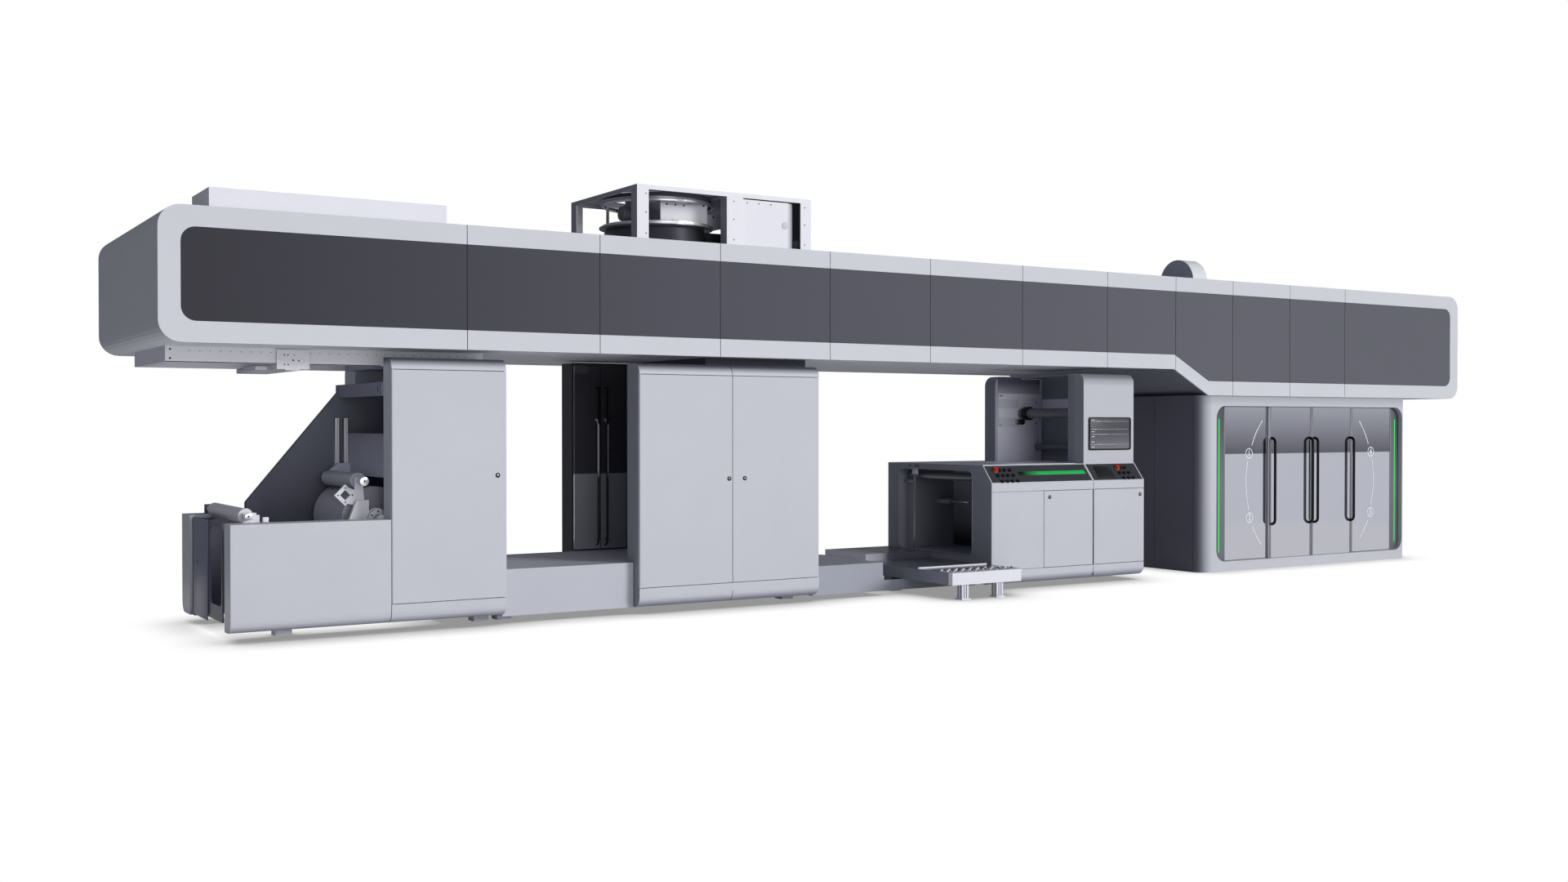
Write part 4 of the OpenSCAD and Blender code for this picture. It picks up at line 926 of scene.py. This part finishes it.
# %% [markdown]
# The rewinder's opening has a bright worn edge, an upright bar inside it that guides the web, and a slim
# shaft low in the bay. Three bolt heads hold the top plate. The edge could be painted by a mask, but a thin
# rod laid round the opening catches the light as worn metal does. It is one closed line, like the gasket,
# in the plane of the machine's side.

# %% Rewinder details
edge_grey = coat("edge_grey", "8a8b95", rough=0.35, metallic=0.3, specular=0.4)
portal = low("rewind_portal").x
opening = round_frame(0.150, 0.335, 1.400, 1.205, 0.070, 6)
tube("portal_edge", [(portal - 0.002, y, z) for y, z in opening], 0.006, edge_grey, closed=True)
for name, out, back, y0, y1, z0, z1, paint in (
        ("upright", 0.060, 0.078, 1.190, 1.225, 0.336, 1.204, edge_grey),
        ("bracket", 0.060, 0.078, 1.225, 1.399, 1.050, 1.072, edge_grey),
        ("hanger", 0.035, 0.055, 1.130, 1.215, 1.140, 1.204, plate_grey)):
    slab("portal_" + name, (portal + out, y0, z0), (portal + back, y1, z1), paint)
dots("portal_bolt", [(portal - 0.003, y, 1.232) for y in (1.206, 1.100, 1.057)], 0.009, 0.006,
     axis="X", bevel=0.002, sides=16)
bay_x, bay_z = 8.400, 0.832
disc("bay_shaft", (bay_x, 1.130, bay_z), 0.013, 0.530, steel, bevel=0.003)
disc("bay_shaft_sleeve", (bay_x, 1.300, bay_z), 0.030, 0.190, roller_grey, bevel=0.004)
disc("bay_shaft_collar", (bay_x, 0.990, bay_z), 0.022, 0.040, roller_grey, bevel=0.004)
roller = middle_of("rewind_roller")
for end, y in (("near", 0.200), ("far", 1.345)):
    ring("rewind_cap_" + end, (roller.x, y, roller.z), 0.0445, 0.0405, 0.030, edge_grey,
         "rewind_roller")
print("portal at", round(portal, 3))

# %% [markdown]
# Small star wheels sit on the table's rollers and keep labels from sticking. A star could be drawn point by
# point, but a twelve-sided disc in which every second corner is pulled inwards is the same in a few lines,
# and it is copied along each roller.

# %% Star wheels
star_step = 0.090
table_low, table_high = low("roll_table"), high("roll_table")
star_at = Vector((table_low.x + 0.060, -0.500, 0.262))
bpy.ops.object.select_all(action="DESELECT")
bpy.ops.mesh.primitive_cylinder_add(vertices=12, radius=0.024, depth=0.012, location=spot(*star_at),
                                    rotation=along["Y"])
star = bpy.context.object
bpy.ops.object.transform_apply(location=True, rotation=True, scale=True)
hub = spot(*star_at)
for point in star.data.vertices:
    around = round(math.degrees(math.atan2(point.co.z - hub.z, point.co.x - hub.x)) / 30)
    if around % 2:
        point.co.x = hub.x + (point.co.x - hub.x) * 0.5
        point.co.z = hub.z + (point.co.z - hub.z) * 0.5
done("table_star", roof_white, bevel=0.0015)
others = [(column, row) for column in range(9) for row in range(2) if column or row]
for column, row in others:
    again(star, "table_star_%d_%d" % (column, row), Vector((star_step * column, star_step * row, 0)))
print("stars", 1 + len(others))

# %% [markdown]
# Black knobs along the table's front hold its beam, and its legs are aluminium profile with slots. The
# profile could be extruded from its true section, but at this size only the shade in the slots shows, so a
# thin dark bar stands for each of them, as painted shade.

# %% Knobs and legs of the table
knobs, knob_step = 5, 0.165
for i in range(knobs):
    disc("table_knob_%d" % i, (table_low.x + 0.10 + knob_step * i, -0.615, table_high.z + 0.006), 0.011,
         0.012, black, axis="Z", bevel=0.003, sides=20)
slot_low, slot_high = 0.014, 0.146
for leg, x in (("left", table_low.x + 0.140), ("right", table_low.x + 0.570)):
    for slot_x in (0.026, 0.054):
        slab("leg_slot_%s_%d" % (leg, round(1000 * slot_x)), (x + slot_x - 0.004, -0.6225, slot_low),
             (x + slot_x + 0.004, -0.6195, slot_high), slate, bevel=0.0005)
    for y in (-0.600, -0.560):
        slab("leg_side_%s_%d" % (leg, round(-1000 * y)), (x - 0.0015, y - 0.004, slot_low),
             (x + 0.0015, y + 0.004, slot_high), slate, bevel=0.0005)
print("knobs", knobs)

# %% [markdown]
# The dark doors behind the walkway are opened by long steel bows, one on each leaf. A bow leaves the door
# in a quarter circle and returns in another, so the polished door doubles it into a loop. It lies over the
# square one of the solid model, a hair thicker, and hides it without a change to that mesh. It is darker in
# its lower half.

# %% Loop pulls
loop_steel = coat("loop_steel", "d4d5dc", rough=0.3, metallic=0.2, specular=0.5,
                  fades=[("Z", 1.25, 1.15, "26262b")])
z0, z1 = 0.507, 1.722
for side, x in (("left", high("glass_door_left").x - 0.045), ("right", low("glass_door_right").x + 0.045)):
    node = "glass_door_" + side
    face, out_y = low(node).y + 0.068, low(node).y + 0.009
    tube("loop_pull_" + side, bow(x, face, face - out_y, z0, z1, 8), 0.010, loop_steel,
         node)
print("loops", round(z1 - z0, 3), "m high")

# %% [markdown]
# The unwinder's bearings are finished in steel. The web roll turns in a flanged bearing with bolts round it
# and a plain cap, the lay-on roller's spindle ends in a knurled head, and the idler at the infeed has a
# turned cap too. The bolts could be turned about the axle one by one, but the even steps of an arc place
# them at once.

# %% Unwinder bearings
roll, roll_y = middle_of("unwind_roll"), low("unwind_roll").y
lay_on, lay_on_y = middle_of("lay_on_roller"), low("lay_on_roller").y
idler, idler_y = middle_of("idler_roller"), low("idler_roller").y


def cap(name, axle, y, radius, depth, paint, body, bevel):
    """A round part on an axle's end, seen from the machine's front."""
    disc(name, (axle.x, y, axle.z), radius, depth, paint, body, bevel=bevel)


cap("unwind_cap", roll, roll_y - 0.010, 0.040, 0.020, plate_light, "unwind_roll", 0.006)
cap("unwind_cap_centre", roll, roll_y - 0.022, 0.008, 0.006, black, "unwind_roll", 0.002)
flange_bolts = arc(roll.x, roll.z, 0.062, 30, 330, 5)
dots("unwind_flange_bolt", [(x, roll_y + 0.075, z) for x, z in flange_bolts], 0.007, 0.008,
     "unwind_roll", bevel=0.0015, sides=16)
ring("unwind_flange", (roll.x, roll_y + 0.0765, roll.z), 0.0795, 0.036, 0.003, plate_light,
     "unwind_roll")
cap("lay_on_spindle", lay_on, lay_on_y - 0.050, 0.030, 0.100, plate_light, "lay_on_roller", 0.004)
cap("lay_on_cap", lay_on, lay_on_y - 0.108, 0.038, 0.020, steel, "lay_on_roller", 0.005)
cap("lay_on_cap_centre", lay_on, lay_on_y - 0.119, 0.008, 0.006, black, "lay_on_roller", 0.002)
cap("idler_cap", idler, idler_y - 0.008, 0.030, 0.018, steel, "idler_roller", 0.005)
cap("idler_cap_centre", idler, idler_y - 0.018, 0.007, 0.006, black, "idler_roller", 0.002)
print("roll axis", round(roll.x, 3), round(roll.z, 3))

# %% [markdown]
# The idler at the infeed ends in a steel ring, beside two small blocks. Four cap screws clamp the lay-on
# roller's arm. They could be given a hexagon socket each, but it would be smaller than the edge is broken,
# so they are discs like the other screws.

# %% Idler blocks and arm bolts
ring("idler_end_ring", (idler.x, 0.395, idler.z), 0.0595, 0.050, 0.020, steel, "idler_roller")
for i, (x, top, paint) in enumerate(((0.782, 0.966, plate_light), (0.852, 0.946, plate_grey))):
    slab("idler_block_%d" % i, (x - 0.022, 0.332, 0.860), (x + 0.022, 0.372, top), paint,
         bevel=0.004)
arm_bolts, arm_y = arc(lay_on.x - 0.115, lay_on.z - 0.115, 0.058, 0, 270, 3), low("lay_on_arms").y
dots("arm_bolt", [(x, arm_y - 0.002, z) for x, z in arm_bolts], 0.006, 0.008, bevel=0.0015,
     sides=16)
print("arm bolts", len(arm_bolts))

# %% [markdown]
# Behind the rolls, two bright aluminium guides stand on the wall, with dark slots down their length. Above
# them the crosshead's beam is folded sheet with a small slot in its end. A brushed plate with one square
# hole closes the unwinder's far half at its left end; it grows lighter towards its top, a painted sheen. A
# dark gap parts it from the opening beside it. Slots and holes lie in the shade here, so thin dark plates
# stand for them and nothing is cut.

# %% Guides and crosshead
guide_y = 1.340
guide_foot, guide_top = 1.302, 1.731
for i, x in enumerate((1.690, 1.767)):
    slab("guide_%d" % i, (x - 0.002, guide_y - 0.004, guide_foot), (x + 0.030, guide_y + 0.010, guide_top),
         rail_metal)
    for slot_x in (0.008, 0.020):
        slab("guide_slot_%d_%d" % (i, round(1000 * slot_x)),
             (x + slot_x - 0.002, guide_y - 0.0055, guide_foot + 0.004),
             (x + slot_x + 0.002, guide_y - 0.003, guide_top - 0.004), slate, bevel=0.0005)
slab("guide_foot", (1.680, guide_y - 0.015, 1.285), (1.805, guide_y, guide_foot), rail_metal)
dots("crosshead_rivet", [(1.7345, 0.230, z) for z in (1.935, 1.998)], 0.006, 0.005, axis="X")
slab("crosshead_slot", (1.733, 0.290, 1.942), (1.738, 0.300, 1.990), black, bevel=0.001)
end_x, end_top = low("unwind_far_frame").x, 0.906
# painted sheen: the plate grows lighter towards its top
end_sheen = coat("brushed_end_sheen", "62637a", rough=0.4, cloud=0.12, fades=[("Z", 0.20, 0.80, "787a90")])
slab("unwind_end_plate", (end_x - 0.008, 0.872, 0.096), (end_x - 0.001, 1.407, end_top), end_sheen)
slab("unwind_end_fold", (end_x - 0.014, 0.848, 0.150), (end_x - 0.001, 0.860, end_top), end_sheen)
slab("unwind_end_hole", (end_x - 0.0095, 1.232, 0.528), (end_x - 0.0075, 1.268, 0.556), black,
     bevel=0.0008)
print("guides at", guide_y, "and end plate at", round(end_x, 3))

# %% [markdown]
# The roof carries a fan in an open frame. A pale riveted box covers its drive, and a dark plate by the drum's
# lower part stands for the shaded side of its outlet, as painted shade. Such covers are folded from sheet and
# could be extruded from their folded edge, but only their faces show, so each is a thin plate, and its rivets
# are small dark discs.

# %% Fan box and drive
box_rivets = ((4.500, 3.708), (4.590, 3.708), (4.680, 3.708), (4.890, 3.720), (4.560, 3.560))
slab("fan_box_front", (4.437, 0.490, 3.540), (4.929, 0.499, 3.738), roof_white)
dots("fan_box_rivet", [(x, 0.488, z) for x, z in box_rivets], 0.009, 0.005)
slab("fan_drive_front", (4.924, 0.640, 3.534), (5.178, 0.650, 3.668), plate_grey)
dots("fan_drive_rivet", ((4.960, 0.638, 3.640), (5.080, 0.638, 3.645)), 0.009, 0.005)
# painted shade: a dark plate for the shaded side of the fan's outlet
slab("fan_outlet_shade", (4.930, 0.700, 3.330), (5.290, 0.712, 3.500), dark_slate)
slab("fan_foot_box", (5.868, 0.400, 3.345), (5.888, 0.470, 3.450), roof_white, bevel=0.004)
print("box rivets", len(box_rivets))

# %% [markdown]
# The fan's rings get bolted lugs and a bright lip, a dark collar lines the top and a cowl closes the
# middle. A motor with cooling fins stands beside it. Grooves could be cut into the motor for its fins, but
# one thin disc copied along its length gives the same edges.

# %% Fan
drum = middle_of("fan_housing")
frame_low, frame_high = low("fan_frame"), high("fan_frame")
motor_y, motor_z = 0.780, 3.630
fin = disc("fan_motor_fin_0", (4.200, motor_y, motor_z), 0.074, 0.006, slate, axis="X",
           bevel=0.001)
fins, fin_step = 11, 0.019
for i in range(1, fins):
    again(fin, "fan_motor_fin_%d" % i, Vector((fin_step * i, 0, 0)))
disc("fan_cowl", (4.560, 0.930, 3.668), 0.240, 0.250, slate, axis="Z", bevel=0.006, sides=48)
ring("fan_collar", (drum.x, drum.y, frame_high.z - 0.035), 0.505, 0.495, 0.050, slate, axis="Z")
disc("fan_motor", (4.300, motor_y, motor_z), 0.066, 0.260, slate, axis="X", bevel=0.008)
lugs = arc(drum.x, drum.y, 0.500, 22.5, 337.5, 7)
for level, z in (("upper", frame_high.z - 0.075), ("lower", frame_low.z + 0.222)):
    for i, (x, y) in enumerate(lugs):
        disc("fan_lug_%s_%d" % (level, i), (x, y, z), 0.011, 0.020, slate, axis="Z", bevel=0.002,
             sides=16)
    ring("fan_lip_" + level, (drum.x, drum.y, z - 0.004), 0.5255, 0.512, 0.030, steel, axis="Z")
print("fan axis", round(drum.x, 3), round(drum.y, 3))

# %% [markdown]
# The fan's frame is riveted from angle sections, and the closed duct beside it has a round cap and a row of
# rivets under its top edge. Rivets could be scattered by a modifier, but each has its own height on its
# post, so they are placed from short lists.

# %% Fan frame and duct
post_x = (frame_low.x + 0.090, frame_low.x + 1.000, frame_high.x - 0.070)
post_z = (frame_low.z + 0.070, frame_low.z + 0.260, frame_high.z - 0.080)
for i, x in enumerate(post_x):
    dots("fan_post_rivet_%d" % i, [(x, frame_low.y - 0.001, z) for z in post_z], 0.006, 0.004)
duct_y = low("fan_duct").y - 0.001
disc("duct_cap", (5.619, duct_y, 3.555), 0.036, 0.006, pale, bevel=0.002)
dots("duct_rivet", [(5.200 + 0.13 * i, duct_y, high("fan_duct").z - 0.030) for i in range(3)], 0.006, 0.004)
print("rivets on each post", len(post_z))

# %% [markdown]
# The hoist's rails have a row of small holes along their face, and the trolley a few larger ones. Real
# holes would mean a change to the solid model's mesh, which stays as it is, so each is a thin dark disc let
# into the face, the shade in the hole painted. One is made, and copies run along the rail at an even spacing.

# %% Hoist
rail_low, rail_high = low("hoist_rails"), high("hoist_rails")
hole = disc("rail_hole_0", (rail_low.x + 0.180, rail_low.y - 0.0005, rail_high.z - 0.034), 0.004, 0.002,
            slate, bevel=0.0005, sides=12)
holes, hole_step = 30, 0.078
for i in range(1, holes):
    again(hole, "rail_hole_%d" % i, Vector((hole_step * i, 0, 0)))
screw_z = (rail_low.z + 0.030, rail_high.z - 0.026)
dots("rail_screw", [(rail_low.x + 0.036, rail_low.y - 0.001, z) for z in screw_z], 0.008, 0.004,
     sides=16)
slab("rail_lip", (rail_low.x, rail_low.y - 0.003, rail_low.z + 0.001),
     (rail_high.x - 0.9, rail_low.y, rail_low.z + 0.007), black, bevel=0.001)
plate_y = low("hoist_trolley").y
trolley_holes = ((1.060, 2.238, 0.006), (1.088, 2.238, 0.006), (1.140, 2.236, 0.004), (1.130, 2.196, 0.007),
                 (1.175, 2.193, 0.007), (1.060, 2.160, 0.006), (1.090, 2.160, 0.006))
for i, (x, z, r) in enumerate(trolley_holes):
    disc("trolley_hole_%d" % i, (x, plate_y - 0.001, z), r, 0.004, black, "hoist_trolley",
         bevel=0.001, sides=12)
for i, (x, z) in enumerate(((1.022, 2.194), (1.200, 2.192))):
    ring("trolley_wheel_%d" % i, (x, plate_y - 0.002, z), 0.016, 0.009, 0.004, steel,
         "hoist_trolley")
slab("trolley_foot", (1.067, plate_y + 0.002, 2.113), (1.186, plate_y + 0.040, 2.124), rail_metal,
     "hoist_trolley")
print("rail", round(rail_high.x - rail_low.x, 3), "m long")
